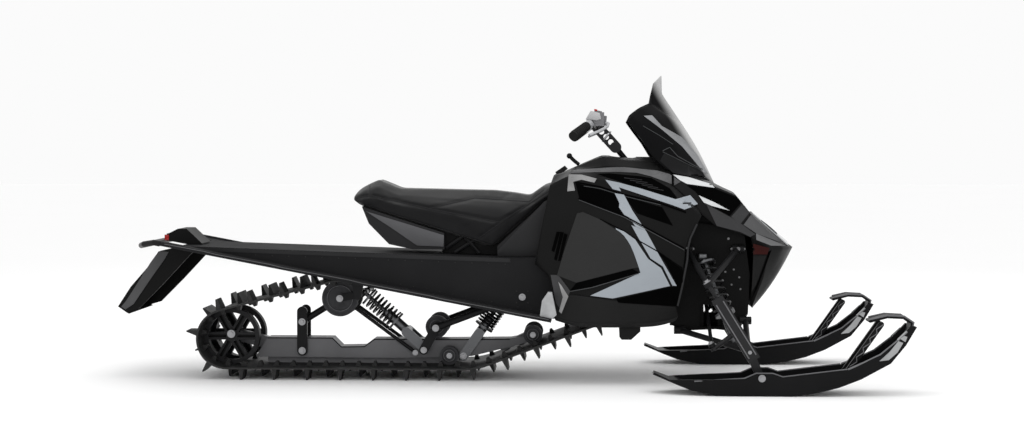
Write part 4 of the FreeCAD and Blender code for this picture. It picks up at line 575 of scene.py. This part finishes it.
pan_grey = finish("pan_grey", (84, 84, 86), 0.42, grain=420.0, relief=0.2, spread=0.12)
tank_grey = finish("tank_grey", (44, 44, 45), 0.5, grain=420.0, relief=0.25)
well_black = finish("well_black", 16, 0.6, grain=420.0, relief=0.3, spread=0.2)
cover_lift, cover_rise, cover_edge, fold_angle = 0.0004, 0.003, 0.0012, 1.0
pan_outline = [(-0.545, 0.650), (-0.240, 0.557), (-0.242, 0.513), (-0.345, 0.517), (-0.452, 0.590)]
tank_outline = [(-0.030, 0.500), (0.150, 0.690), (0.183, 0.700), (0.183, 0.478), (-0.030, 0.479)]
for name, material, reach, outline in (("pan_covers", pan_grey, 0.112, pan_outline),
                                       ("tank_covers", tank_grey, 0.146, tank_outline)):
    bm = bmesh.new()
    for side in (-1, 1):
        add_plate(bm, upright(outline, side * (reach + cover_lift)), side * cover_rise)
    round_edges(bm, [e for e in bm.edges if e.calc_face_angle(0.0) > fold_angle], cover_edge)
    put(name, bm, material)

strut_radius, strut_reach, well_reach, well_rise = 0.007, 0.09, 0.078, 0.003
strut_line = (((-0.235, 0.505), (-0.165, 0.555)), ((-0.165, 0.555), (-0.105, 0.487)),
              ((-0.200, 0.489), (-0.120, 0.540)))
well_outline = [(-0.250, 0.572), (-0.130, 0.530), (-0.050, 0.530), (-0.008, 0.530), (-0.008, 0.479),
                (-0.250, 0.486)]
struts = bmesh.new()
wells = bmesh.new()
for side in (-1, 1):
    for ends in strut_line:
        add_tube(struts, upright(ends, side * strut_reach), strut_radius, segments=10)
    add_plate(wells, upright(well_outline, side * well_reach), side * well_rise)
put("seat_struts", struts, arm_black)
put("seat_wells", wells, well_black)


# Seat: foam under black grained vinyl, sewn along both sides of the top and stretched over
# the pan, where it is stapled.
def seat_vinyl_finish():
    """Vinyl: a leather-like cell grain, and a painted highlight that makes it paler where it faces up."""
    material = finish("seat_vinyl", (24, 24, 25), 0.5, grain=700.0, relief=0.3, spread=0.14, patches=7.0)
    tree = material.node_tree
    shader = fitted(tree.nodes["Principled BSDF"], {"Sheen Weight": 0.08})
    cells = fitted(tree.nodes.new("ShaderNodeTexVoronoi"), {"Scale": 330.0})
    cells.feature = "DISTANCE_TO_EDGE"
    place = [n for n in tree.nodes if n.type == "TEX_COORD"][0]
    bump = [n for n in tree.nodes if n.type == "BUMP"][0]
    # Painted highlight: the colour is mixed towards a pale grey where the surface faces up.
    facing = tree.nodes.new("ShaderNodeNewGeometry")
    parts = tree.nodes.new("ShaderNodeSeparateXYZ")
    top_highlight = fitted(tree.nodes.new("ShaderNodeMapRange"), {"From Min": 0.05, "From Max": 0.85, "To Max": 0.7})
    mix = tree.nodes.new("ShaderNodeMix")
    mix.data_type = "RGBA"
    mix.inputs[7].default_value = shade(70)
    join(tree, (place.outputs["Object"], cells.inputs["Vector"]),
         (cells.outputs["Distance"], bump.inputs["Height"]),
         (facing.outputs["Normal"], parts.inputs["Vector"]), (parts.outputs["Z"], top_highlight.inputs["Value"]),
         (top_highlight.outputs["Result"], mix.inputs[0]),
         (shader.inputs["Base Color"].links[0].from_socket, mix.inputs[6]),
         (mix.outputs[2], shader.inputs["Base Color"]))
    return material


def bake(piece):
    """Apply a piece's modifiers to its mesh."""
    graph = bpy.context.evaluated_depsgraph_get()
    mesh = bpy.data.meshes.new_from_object(piece.evaluated_get(graph))
    piece.modifiers.clear()
    piece.data = mesh


def nearest_on(a, b, place):
    """Point of the segment from a to b that lies nearest a place."""
    share = (place - a).dot(b - a) / (b - a).length_squared
    return a + (b - a) * min(1.0, max(0.0, share))


vinyl = seat_vinyl_finish()
voxel, merge_distance = 0.007, 1e-5
inset_before_swell, swell_cap, swell_pressure, swell_frames = 0.004, 0.006, 2.5, 20
cushion_mesh = bmesh.new()
cushion_mesh.from_mesh(nodes["seat"].data)
bmesh.ops.remove_doubles(cushion_mesh, verts=cushion_mesh.verts, dist=merge_distance)
seat = put("seat_cushion", cushion_mesh, vinyl, sharp=180.0)
remesh = seat.modifiers.new("remesh", "REMESH")
remesh.mode = "VOXEL"
remesh.voxel_size = voxel
rounding = seat.modifiers.new("rounding", "SMOOTH")
rounding.factor = 0.5
rounding.iterations = 8
bake(seat)
start = [v.co - v.normal * inset_before_swell for v in seat.data.vertices]
for vertex, place in zip(seat.data.vertices, start):
    vertex.co = place
cloth = seat.modifiers.new("foam", "CLOTH")
cloth.settings.use_pressure = True
cloth.settings.uniform_pressure_force = swell_pressure
cloth.settings.effector_weights.gravity = 0.0
cloth.settings.quality = 6
cloth.point_cache.frame_start = 1
cloth.point_cache.frame_end = swell_frames
for step in range(1, swell_frames + 1):
    bpy.context.scene.frame_set(step)
graph = bpy.context.evaluated_depsgraph_get()
swollen = [v.co.copy() for v in seat.evaluated_get(graph).data.vertices]
seat.modifiers.clear()
for vertex, before, after in zip(seat.data.vertices, start, swollen):
    move = after - before
    if move.length > swell_cap:
        move = move.normalized() * swell_cap
    vertex.co = before + move
bpy.context.scene.frame_set(1)
seat.data.polygons.foreach_set("use_smooth", [True] * len(seat.data.polygons))
seat.data.materials.clear()
seat.data.materials.append(vinyl)
seams = (((-0.588, 0.700), (-0.525, 0.711), (-0.298, 0.661), (-0.025, 0.609), (0.054, 0.657)),
         ((-0.533, 0.748), (-0.525, 0.711)),
         ((-0.298, 0.661), (-0.122, 0.701), (0.088, 0.687), (0.146, 0.733)),
         ((-0.100, 0.550), (-0.025, 0.603), (0.180, 0.738)))
seam_depth, seam_reach, seam_side = 0.003, 0.010, 0.06
for vertex in seat.data.vertices:
    place = Vector((vertex.co.x, vertex.co.z))
    gap = min((place - nearest_on(Vector(a), Vector(b), place)).length
              for run in seams for a, b in zip(run, run[1:]))
    if gap < seam_reach and abs(vertex.co.y) > seam_side:
        vertex.co -= vertex.normal * seam_depth * (1 - (gap / seam_reach) ** 2)
fill = seat.modifiers.new("fill", "SUBSURF")
fill.levels = fill.render_levels = 1
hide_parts("seat")

piping_black = finish("piping_black", (40, 40, 41), 0.5, grain=500.0)
piping_radius, piping_lift, piping_steps = 0.0014, 0.0002, 12
seat_skin = skin_tree([seat])
piping = bmesh.new()
for run in seams:
    line = [Vector(a).lerp(Vector(b), n / piping_steps)
            for a, b in zip(run, run[1:]) for n in range(piping_steps)]
    hits = [seen_from_right(seat_skin, place.x, place.y) for place in line + [Vector(run[-1])]]
    cord = [hit - Vector((0, piping_lift, 0)) for hit in hits if hit is not None]
    if len(cord) > 2:
        for side in (-1, 1):
            add_tube(piping, [Vector((p.x, -side * p.y, p.z)) for p in cord], piping_radius)
put("seat_piping", piping, piping_black)


# Body panels: injection-moulded plastic shells, clipped and screwed to the frame. Their folds
# are crisp, and the faces between them are slightly crowned.
def crowned_panel(node, material):
    """Smooth skin over a frame panel: facets paired into quads, folds held by creases."""
    pair_fold, pair_shape = math.radians(26), math.radians(170)
    soft_fold, hard_fold = 10.0, 34.0
    bm = bmesh.new()
    bm.from_mesh(nodes[node].data)
    bmesh.ops.remove_doubles(bm, verts=bm.verts, dist=merge_distance)
    bmesh.ops.join_triangles(bm, faces=bm.faces[:], angle_face_threshold=pair_fold,
                             angle_shape_threshold=pair_shape)
    crease = bm.edges.layers.float.new("crease_edge")
    for edge in bm.edges:
        fold = math.degrees(edge.calc_face_angle(0.0))
        edge[crease] = min(1.0, max(0.0, (fold - soft_fold) / (hard_fold - soft_fold)))
    piece = put(node + "_skin", bm, material, sharp=180.0)
    crown = piece.modifiers.new("crown", "SUBSURF")
    crown.levels = crown.render_levels = 3
    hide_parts(node)
    return piece


body_black = finish("body_black", 20, 0.4, grain=420.0, relief=0.05, spread=0.12, specular=0.06)
belly_black = finish("belly_black", 28, 0.55, grain=380.0, relief=0.35, spread=0.14)
console_black = finish("console_black", 20, 0.5, grain=380.0, relief=0.3, spread=0.14)
side_right = crowned_panel("side_panel_right", body_black)
crowned_panel("side_panel_left", body_black)
belly_right = crowned_panel("belly_pan_right", belly_black)
crowned_panel("belly_pan_left", belly_black)
console = crowned_panel("console", console_black)
hood = crowned_panel("hood", body_black)
nose = crowned_panel("nose", body_black)


# Graphics and inserts on the panels: pale blue-grey film cut to shape, black moulded vents, and
# the raised knee pads, all stuck or clipped on, the same on both sides. Black sheets laid the same
# way paint shade in a recess, in the creases and under the knee pads, and grey ones paint
# highlights on the shoulders, the rear corners and the creases' lower lips.
mm_per_m = 1000


def lay_film(name, tree, material, outlines, thickness=0.0005, lift=0.0010, tautness=10):
    """Sheets cut to (x, z) outlines in mm, drawn taut over the right side's skin, and mirrored.

    Where the skin steps back by more than tear, the sheet is left open.
    """
    step, tear, beside, cut_merge = 0.005, 0.025, -0.3, 1e-6
    sheet = bmesh.new()
    for outline in outlines:
        bm = bmesh.new()
        whole = bm.faces.new([bm.verts.new((x / mm_per_m, 0.0, z / mm_per_m)) for x, z in outline])
        whole.normal_update()
        bmesh.ops.triangulate(bm, faces=[whole], ngon_method="EAR_CLIP")
        for axis in (0, 2):
            low = min(v.co[axis] for v in bm.verts)
            high = max(v.co[axis] for v in bm.verts)
            normal = Vector((1, 0, 0)) if axis == 0 else Vector((0, 0, 1))
            place = low + step
            while place < high:
                bmesh.ops.bisect_plane(bm, geom=bm.verts[:] + bm.edges[:] + bm.faces[:], dist=cut_merge,
                                       plane_co=normal * place, plane_no=normal)
                place += step
        under = {}
        for vertex in bm.verts:
            hit = seen_from_right(tree, vertex.co.x, vertex.co.z)
            if hit is None:
                hit = tree.find_nearest(Vector((vertex.co.x, beside, vertex.co.z)))[0]
            under[vertex] = hit.y - lift
            vertex.co.y = under[vertex]
        spans = {f: [under[v] for v in f.verts] for f in bm.faces}
        torn = [f for f, depths in spans.items() if max(depths) - min(depths) > tear]
        bmesh.ops.delete(bm, geom=torn, context="FACES")
        for _ in range(tautness):
            for vertex in bm.verts:
                around = [e.other_vert(vertex).co.y for e in vertex.link_edges]
                vertex.co.y = min(under[vertex], sum(around) / len(around))
        thicken(bm, bm.faces[:], (0, -thickness, 0))
        cut = bpy.data.meshes.new("cut")
        bm.to_mesh(cut)
        bm.free()
        sheet.from_mesh(cut)
        bpy.data.meshes.remove(cut)
    other = bmesh.ops.duplicate(sheet, geom=sheet.verts[:] + sheet.edges[:] + sheet.faces[:])["geom"]
    bmesh.ops.scale(sheet, verts=[g for g in other if isinstance(g, bmesh.types.BMVert)], vec=(1, -1, 1))
    bmesh.ops.reverse_faces(sheet, faces=[g for g in other if isinstance(g, bmesh.types.BMFace)])
    put(name, sheet, material)


def band(points, width):
    """Outline of a strip of even width along a run of (x, z) points, all in mm."""
    over, under = [], []
    for n, (x, z) in enumerate(points):
        x0, z0 = points[max(0, n - 1)]
        x1, z1 = points[min(len(points) - 1, n + 1)]
        length = math.hypot(x1 - x0, z1 - z0)
        across = ((z0 - z1) / length * width / 2, (x1 - x0) / length * width / 2)
        over.append((x + across[0], z + across[1]))
        under.append((x - across[0], z - across[1]))
    return over + under[::-1]


film_grey = finish("film_grey", (152, 158, 164), 0.38, relief=0.03, spread=0.04)
# Black for the vents, and also for the sheets of painted shade.
black_vent_and_shade = finish("black_vent_and_shade", 6, 0.7, relief=0.2, spread=0.2, specular=0.0)
pad_grey = finish("pad_grey", 43, 0.55, grain=420.0, relief=0.3, spread=0.06)
line_grey = finish("line_grey", (66, 67, 68), 0.5, grain=400.0)
shoulder_highlight_grey = finish("shoulder_highlight_grey", (92, 92, 93), 0.35, grain=400.0, relief=0.05, spread=0.35, patches=6.0)
pale_strip_and_highlight_grey = finish("pale_strip_and_highlight_grey", 138, 0.35, grain=400.0, relief=0.05, spread=0.2, patches=16.0)
skin = skin_tree([side_right, belly_right, console, hood, nose])

lay_film("upper_black", skin, black_vent_and_shade, thickness=0.0004, lift=0.0006, outlines=[
    [(452, 713), (594, 672), (634, 603), (499, 650)]])
lay_film("bay_black", skin, black_vent_and_shade, thickness=0.0004, lift=0.0006, outlines=[
    [(576, 507), (671, 439), (671, 376), (650, 378), (591, 497)],
    [(422, 329), (623, 375), (664, 379), (652, 302), (431, 316)]])
# Painted shade: a black sheet over the recess between the shoulder stripe and the crease.
lay_film("recess_painted_shade", skin, black_vent_and_shade, thickness=0.0004, lift=0.0006, outlines=[
    [(269, 762), (413, 724), (430, 696), (433, 672), (445, 646), (283, 706)]])
lay_film("shoulder_stripe", skin, film_grey, lift=0.0026, tautness=20, outlines=[
    [(381, 775), (430, 765), (512, 743), (645, 702), (703, 716), (732, 683), (677, 664), (628, 682),
     (432, 747), (440, 732), (409, 740)]])
lay_film("middle_stripe", skin, film_grey, lift=0.0014, outlines=[
    [(416, 725), (451, 719), (483, 659), (533, 584), (494, 600), (471, 634), (452, 644), (432, 672),
     (434, 687)]])
pad_edge = [(421, 590), (436, 580), (451, 566), (464, 548), (475, 530), (488, 500), (499, 469),
            (506, 448), (512, 429)]
lay_film("arrow_stripe", skin, film_grey, lift=0.0018, tautness=30, outlines=[
    [(419, 595), (451, 582), (492, 553), (541, 480), (589, 446), (623, 379), (409, 332), (325, 342)]
    + pad_edge[::-1],
    [(478, 606), (533, 584), (572, 513), (512, 545)],
    [(516, 540), (575, 506), (648, 379), (632, 380), (596, 452), (550, 482)]])
lay_film("side_vent", skin, black_vent_and_shade, thickness=0.0008, outlines=[
    [(349, 796), (396, 799), (513, 788), (556, 781), (625, 742), (651, 708), (643, 704), (513, 744),
     (396, 781)]])
wedge_grey = finish("wedge_grey", (62, 62, 63), 0.45, grain=420.0, spread=0.2)
slat_grey = finish("slat_grey", (44, 44, 45), 0.5, grain=400.0)
lay_film("vent_slats", skin, slat_grey, thickness=0.0020, outlines=[
    band([(452 + 22 * n, 782 - 8.8 * n), (520 + 20 * n, 774 - 9.8 * n)], 2.6) for n in range(5)])
lay_film("knee_pads", skin, pad_grey, thickness=0.0012, lift=0.0018, outlines=[
    [(275, 649), (297, 654), (361, 627)] + [(x - 1.5, z) for x, z in pad_edge[:8]]
    + [(482, 445), (272, 390), (200, 416), (228, 511)]])
# Painted shadow: a black sheet over the undercut step below each knee pad.
lay_film("knee_ledge_shadows", skin, black_vent_and_shade, thickness=0.0008, lift=0.0018, outlines=[
    [(509, 428), (482, 443), (272, 388), (248, 359), (327, 374)]])
lay_film("ledge_lips", skin, line_grey, thickness=0.0016, lift=0.0018, outlines=[
    band([(250, 357), (330, 372), (506, 426)], 3)])
# Painted highlight: a grey sheet along the top of each side panel stands for the light on its rounded
# shoulder.
lay_film("shoulder_highlights", skin, shoulder_highlight_grey, lift=0.0012, outlines=[
    [(249, 800), (262, 811), (389, 820), (452, 822), (578, 809), (625, 796), (669, 766), (644, 753),
     (612, 766), (552, 788), (499, 801), (431, 804), (346, 803)]])
# Painted highlight: a pale sheet at the rear top corner of each side panel.
lay_film("corner_highlights", skin, pale_strip_and_highlight_grey, lift=0.0014, outlines=[
    [(243, 795), (292, 794), (349, 779), (340, 764), (292, 775), (260, 767), (267, 734), (238, 731)]])
# Painted shade: black bands in the grooves along the side panel's creases.
lay_film("crease_shade_lines", skin, black_vent_and_shade, thickness=0.0008, lift=0.0024, outlines=[
    band([(280, 705), (451, 641), (677, 519)], 5),
    band([(267, 766), (362, 748), (447, 721), (589, 687), (683, 653)], 6),
    band([(361, 628), (456, 581), (494, 555), (574, 510), (670, 444)], 3.5)])
# Painted highlight: thin grey bands along the lower lips of the same grooves.
lay_film("crease_highlight_lips", skin, line_grey, thickness=0.0008, lift=0.0018, outlines=[
    band([(282, 699), (452, 635), (676, 513)], 2.6),
    band([(300, 751), (362, 742), (447, 715), (589, 681)], 2.2)])
lay_film("pillar_lips", skin, slat_grey, thickness=0.0012, outlines=[
    band([(724, 609), (699, 556), (690, 519), (688, 477), (668, 372), (652, 303)], 7)])
lay_film("rear_vents", skin, black_vent_and_shade, thickness=0.0016, outlines=[
    [(198, 579), (210, 579), (189, 503), (179, 508)],
    [(212, 579), (225, 577), (198, 471), (189, 476)],
    [(227, 574), (239, 569), (213, 471), (204, 470)]])
lay_film("rear_wedges", skin, wedge_grey, thickness=0.0008, lift=0.0014, outlines=[
    [(176, 417), (205, 417), (250, 359), (236, 318), (216, 285), (196, 313)]])
lay_film("rear_strips", skin, pale_strip_and_highlight_grey, thickness=0.0008, lift=0.0024, outlines=[
    [(205, 392), (216, 380), (243, 338), (217, 272), (208, 281), (222, 335)]])


# Hood trim: a moulded black insert set into each side of the hood, with a white edge strip
# above it and a thin one below, both of film stuck to the plastic.
trim_white = finish("trim_white", (208, 210, 211), 0.35, relief=0.03, spread=0.04)
lay_film("hood_strip", skin, trim_white, lift=0.002, outlines=[
    [(639, 794), (702, 783), (787, 757), (799, 743), (693, 758), (666, 772)]])
lay_film("hood_insert", skin, black_vent_and_shade, thickness=0.0008, outlines=[
    [(691, 754), (798, 741), (893, 703), (906, 691), (854, 637), (764, 685), (724, 730)]])
lay_film("hood_thin_strip", skin, trim_white, thickness=0.0012, lift=0.001, outlines=[
    [(736, 715), (797, 688), (854, 657), (785, 675), (755, 688)]])


# Nose: grey moulded covers with facets, clipped over the black shell, a dark red reflector on
# each side and black air ducts below it. The covers take three greys facet by facet, and the
# differences between them are painted light and shade.
nose_grey = finish("nose_grey", (56, 56, 57), 0.4, grain=400.0, relief=0.2)
nose_lit_grey = finish("nose_lit_grey", (108, 108, 109), 0.35, grain=400.0)
nose_half_lit_grey = finish("nose_half_lit_grey", (84, 84, 85), 0.35, grain=400.0)
reflector_red = finish("reflector_red", (50, 13, 10), 0.3)
duct_grey = finish("duct_grey", 31, 0.6, grain=400.0, relief=0.2)
# Painted light and shade: the grey covers get a darker, a middle and a lighter tone, facet by facet.
lay_film("nose_cheeks", skin, nose_grey, outlines=[
    [(764, 682), (857, 632), (904, 603), (952, 567), (932, 557), (894, 576), (803, 600)],
    [(859, 633), (908, 684), (932, 647), (895, 606)]])
lay_film("nose_facets", skin, nose_lit_grey, lift=0.0014, outlines=[
    [(955, 570), (1076, 519), (1013, 523), (955, 546)]])
lay_film("nose_sides", skin, nose_half_lit_grey, lift=0.0012, outlines=[
    [(907, 603), (939, 640), (1062, 530), (956, 570)]])
lay_film("nose_reflectors", skin, reflector_red, thickness=0.002, outlines=[
    [(944, 531), (1006, 515), (998, 490), (944, 490)]])
lay_film("nose_ducts", skin, duct_grey, thickness=0.0006, outlines=[
    [(946, 486), (994, 485), (958, 372), (941, 345)]])
lay_film("nose_slits", skin, black_vent_and_shade, thickness=0.0006, outlines=[
    [(1003, 499), (1015, 508), (961, 356), (941, 315)]])


# Windshield: tinted black plastic, thermoformed and bolted to the hood, with printed bands and
# lines in two greys and a black base.
def shield_finish():
    """Tinted plastic that turns pale grey towards the raked front edge."""
    material = finish("shield_black", (12, 12, 13), 0.3, grain=200.0, relief=0.02, specular=0.05)
    tree = material.node_tree
    shader = tree.nodes["Principled BSDF"]
    tint = shader.inputs["Base Color"].links[0].from_socket
    place = [n for n in tree.nodes if n.type == "TEX_COORD"][0]
    along = tree.nodes.new("ShaderNodeVectorMath")
    along.operation = "DOT_PRODUCT"
    along.inputs[1].default_value = (0.859, 0.0, 0.512)
    fade = fitted(tree.nodes.new("ShaderNodeMapRange"), {"From Min": 1.050, "From Max": 1.096})
    fade.interpolation_type = "SMOOTHSTEP"
    mix = tree.nodes.new("ShaderNodeMix")
    mix.data_type = "RGBA"
    mix.inputs[7].default_value = shade(178)
    join(tree, (place.outputs["Object"], along.inputs[0]), (along.outputs["Value"], fade.inputs["Value"]),
         (fade.outputs["Result"], mix.inputs[0]), (tint, mix.inputs[6]),
         (mix.outputs[2], shader.inputs["Base Color"]))
    return material


shield_black = shield_finish()
band_grey = finish("band_grey", (132, 133, 135), 0.3, relief=0.03, spread=0.2, patches=7.0)
base_grey = finish("base_grey", (24, 24, 25), 0.4, relief=0.03)
windshield = crowned_panel("windshield", shield_black)
shield_skin = skin_tree([windshield])
lay_film("windshield_bands", shield_skin, band_grey, outlines=[
    [(529, 1018), (562, 1020), (599, 979), (678, 936), (739, 869), (783, 793), (761, 802), (733, 836),
     (678, 900), (593, 970)]])
lay_film("windshield_lines", shield_skin, line_grey, lift=0.0014, outlines=[
    band([(526, 979), (590, 942), (641, 909)], 2.4),
    band([(601, 884), (628, 897), (659, 863), (726, 827), (759, 812)], 3.5),
    band([(601, 880), (647, 858), (702, 831), (757, 808)], 2.4)])
lay_film("windshield_base", shield_skin, base_grey, outlines=[
    [(606, 876), (702, 828), (757, 803), (780, 768), (702, 787), (640, 800), (590, 845)]])


# Headlamps: clear polycarbonate lenses over white reflectors with dark rings, clipped into the
# nose's upper face.
lamp_white = finish("lamp_white", (186, 187, 189), 0.12, grain=120.0, relief=0.05, spread=0.04, coat=0.5)
coat(lamp_white, "headlamps")
lamp_dark = finish("lamp_dark", (40, 41, 43), 0.3, relief=0.05)
lens_skin = skin_tree([nodes["headlamps"]])
lens_y, lens_z, rim_stretch, rim_wire, from_ahead = 0.030, 0.588, 1.3, 0.0020, 1.6
lamp_rings = bmesh.new()
for side in (-1, 1):
    for radius in (0.012, 0.020):
        middle = (from_ahead, side * lens_y, lens_z)
        starts = circle(middle, (0, radius, 0), (0, 0, rim_stretch * radius), 28)
        hits = [lens_skin.ray_cast(start, Vector((-1, 0, 0)))[0] for start in starts]
        add_tube(lamp_rings, [hit for hit in hits if hit is not None], rim_wire)
put("headlamp_rings", lamp_rings, lamp_dark)


# Steering and controls: a steel bar on a drilled riser, ribbed rubber grips, a switch housing
# on each side, and the toe holds on the running boards.
grip_black = finish("grip_black", 26, 0.7, grain=500.0, relief=0.5, spread=0.15)
pod_grey = finish("pod_grey", (112, 112, 114), 0.4, grain=400.0, relief=0.2, spread=0.2)
toe_grey = finish("toe_grey", (165, 166, 167), 0.5, relief=0.3, spread=0.16, patches=30.0)
coat(tube_black, "handlebar", "steering_column")
coat(spindle_metal, "handlebar_riser")
coat(grip_black, "grip_left", "grip_right")
coat(pod_grey, "control_pod_left", "control_pod_right")
coat(toe_grey, "toe_hold_left", "toe_hold_right")

lever_silver = finish("lever_silver", (176, 177, 179), 0.3, grain=600.0, metallic=0.5, spread=0.15)
switch_red = finish("switch_red", (170, 24, 22), 0.35)
cover_pale = finish("cover_pale", (176, 176, 177), 0.4, grain=400.0, spread=0.12)
fitting_black = finish("fitting_black", 24, 0.4, grain=400.0, relief=0.2, spread=0.15)
lever_root, lever_radius = (0.372, 0.192, 0.992), 0.0052
lever_line = [(0, 0, 0), (0.022, 0.012, -0.004), (0.016, 0.060, -0.018), (-0.018, 0.105, -0.036),
              (-0.052, 0.135, -0.050)]
grip_inner, grip_outer = (0.3219, 0.2149, 0.9850), (0.2620, 0.3500, 0.9400)
sleeve_radius, grip_ring_radius, grip_ring_wire = 0.0185, 0.0168, 0.0018
pod_y, pod_thickness, pod_edge = 0.199, 0.012, 0.002
pod_outline = [(0.306, 1.003), (0.326, 1.036), (0.360, 1.027), (0.366, 1.004), (0.346, 0.999)]
sleeve_start, sleeve_end, ring_start, ring_pitch = 0.02, 0.20, 0.26, 0.085

levers = bmesh.new()
switches = bmesh.new()
housings = bmesh.new()
covers = bmesh.new()
grip_rings = bmesh.new()
# Each row: the mesh it belongs to, middle, size, turn about Y, rounding of the edges.
pod_blocks = ((housings, (0.3543, 0.184, 1.0315), (0.030, 0.036, 0.010), 0.2, 0.003),
              (housings, (0.380, 0.184, 1.000), (0.012, 0.034, 0.034), 0.1, 0.003),
              (switches, (0.345, 0.196, 1.0385), (0.012, 0.014, 0.006), 0.2, 0.0015))
for side in (-1, 1):
    add_tube(levers, [mirrored(lever_root, side) + mirrored(bend, side) for bend in lever_line],
             lever_radius, segments=10)
    for bm, middle, size, turn, edge in pod_blocks:
        add_block(bm, mirrored(middle, side), size, turn, edge)
    add_plate(covers, upright(pod_outline, side * pod_y), side * pod_thickness)
    inner, outer = mirrored(grip_inner, side), mirrored(grip_outer, side)
    add_tube(levers, [inner.lerp(outer, sleeve_start), inner.lerp(outer, sleeve_end)], sleeve_radius,
             segments=16)
    axis = (outer - inner).normalized()
    over = axis.orthogonal().normalized() * grip_ring_radius
    for n in range(9):
        loop = circle(inner.lerp(outer, ring_start + ring_pitch * n), over, axis.cross(over), 24)
        add_tube(grip_rings, loop, grip_ring_wire)
round_edges(covers, covers.edges[:], pod_edge)
put("pod_covers", covers, cover_pale, "steering_column")
cap_middle, cap_length, cap_half, cap_wire = (0.3885, 0, 0.940), 0.0235, 0.0345, 0.0045
cap_ahead, cap_up = 0.63, 0.78
cap_ring = circle(cap_middle, (cap_length * cap_ahead, 0, cap_length * cap_up), (0, cap_half, 0), 32)
add_tube(levers, cap_ring, cap_wire, segments=10)
put("brake_and_throttle_levers", levers, lever_silver, "steering_column")
put("switch_housings", housings, pod_grey, "steering_column")
put("switch_keys", switches, switch_red, "steering_column")
put("grip_rings", grip_rings, grip_black, "steering_column")

knob, stem_radius, knob_radius = (0.244, -0.060, 0.864), 0.0075, 0.011
fuel_cap, fuel_cap_lean = (0.212, 0.0, 0.806), -0.6
stem_line = [knob, (0.262, -0.060, 0.846), (0.282, -0.060, 0.830)]
fittings = bmesh.new()
add_tube(fittings, stem_line, stem_radius, segments=12)
bmesh.ops.create_uvsphere(fittings, u_segments=16, v_segments=10, radius=knob_radius,
                          matrix=Matrix.Translation(knob))
cap_stand = Matrix.Translation(fuel_cap) @ Matrix.Rotation(fuel_cap_lean, 4, "Y")
bmesh.ops.create_cone(fittings, cap_ends=True, segments=28, radius1=0.026, radius2=0.023, depth=0.018,
                      matrix=cap_stand)
put("console_fittings", fittings, fitting_black)
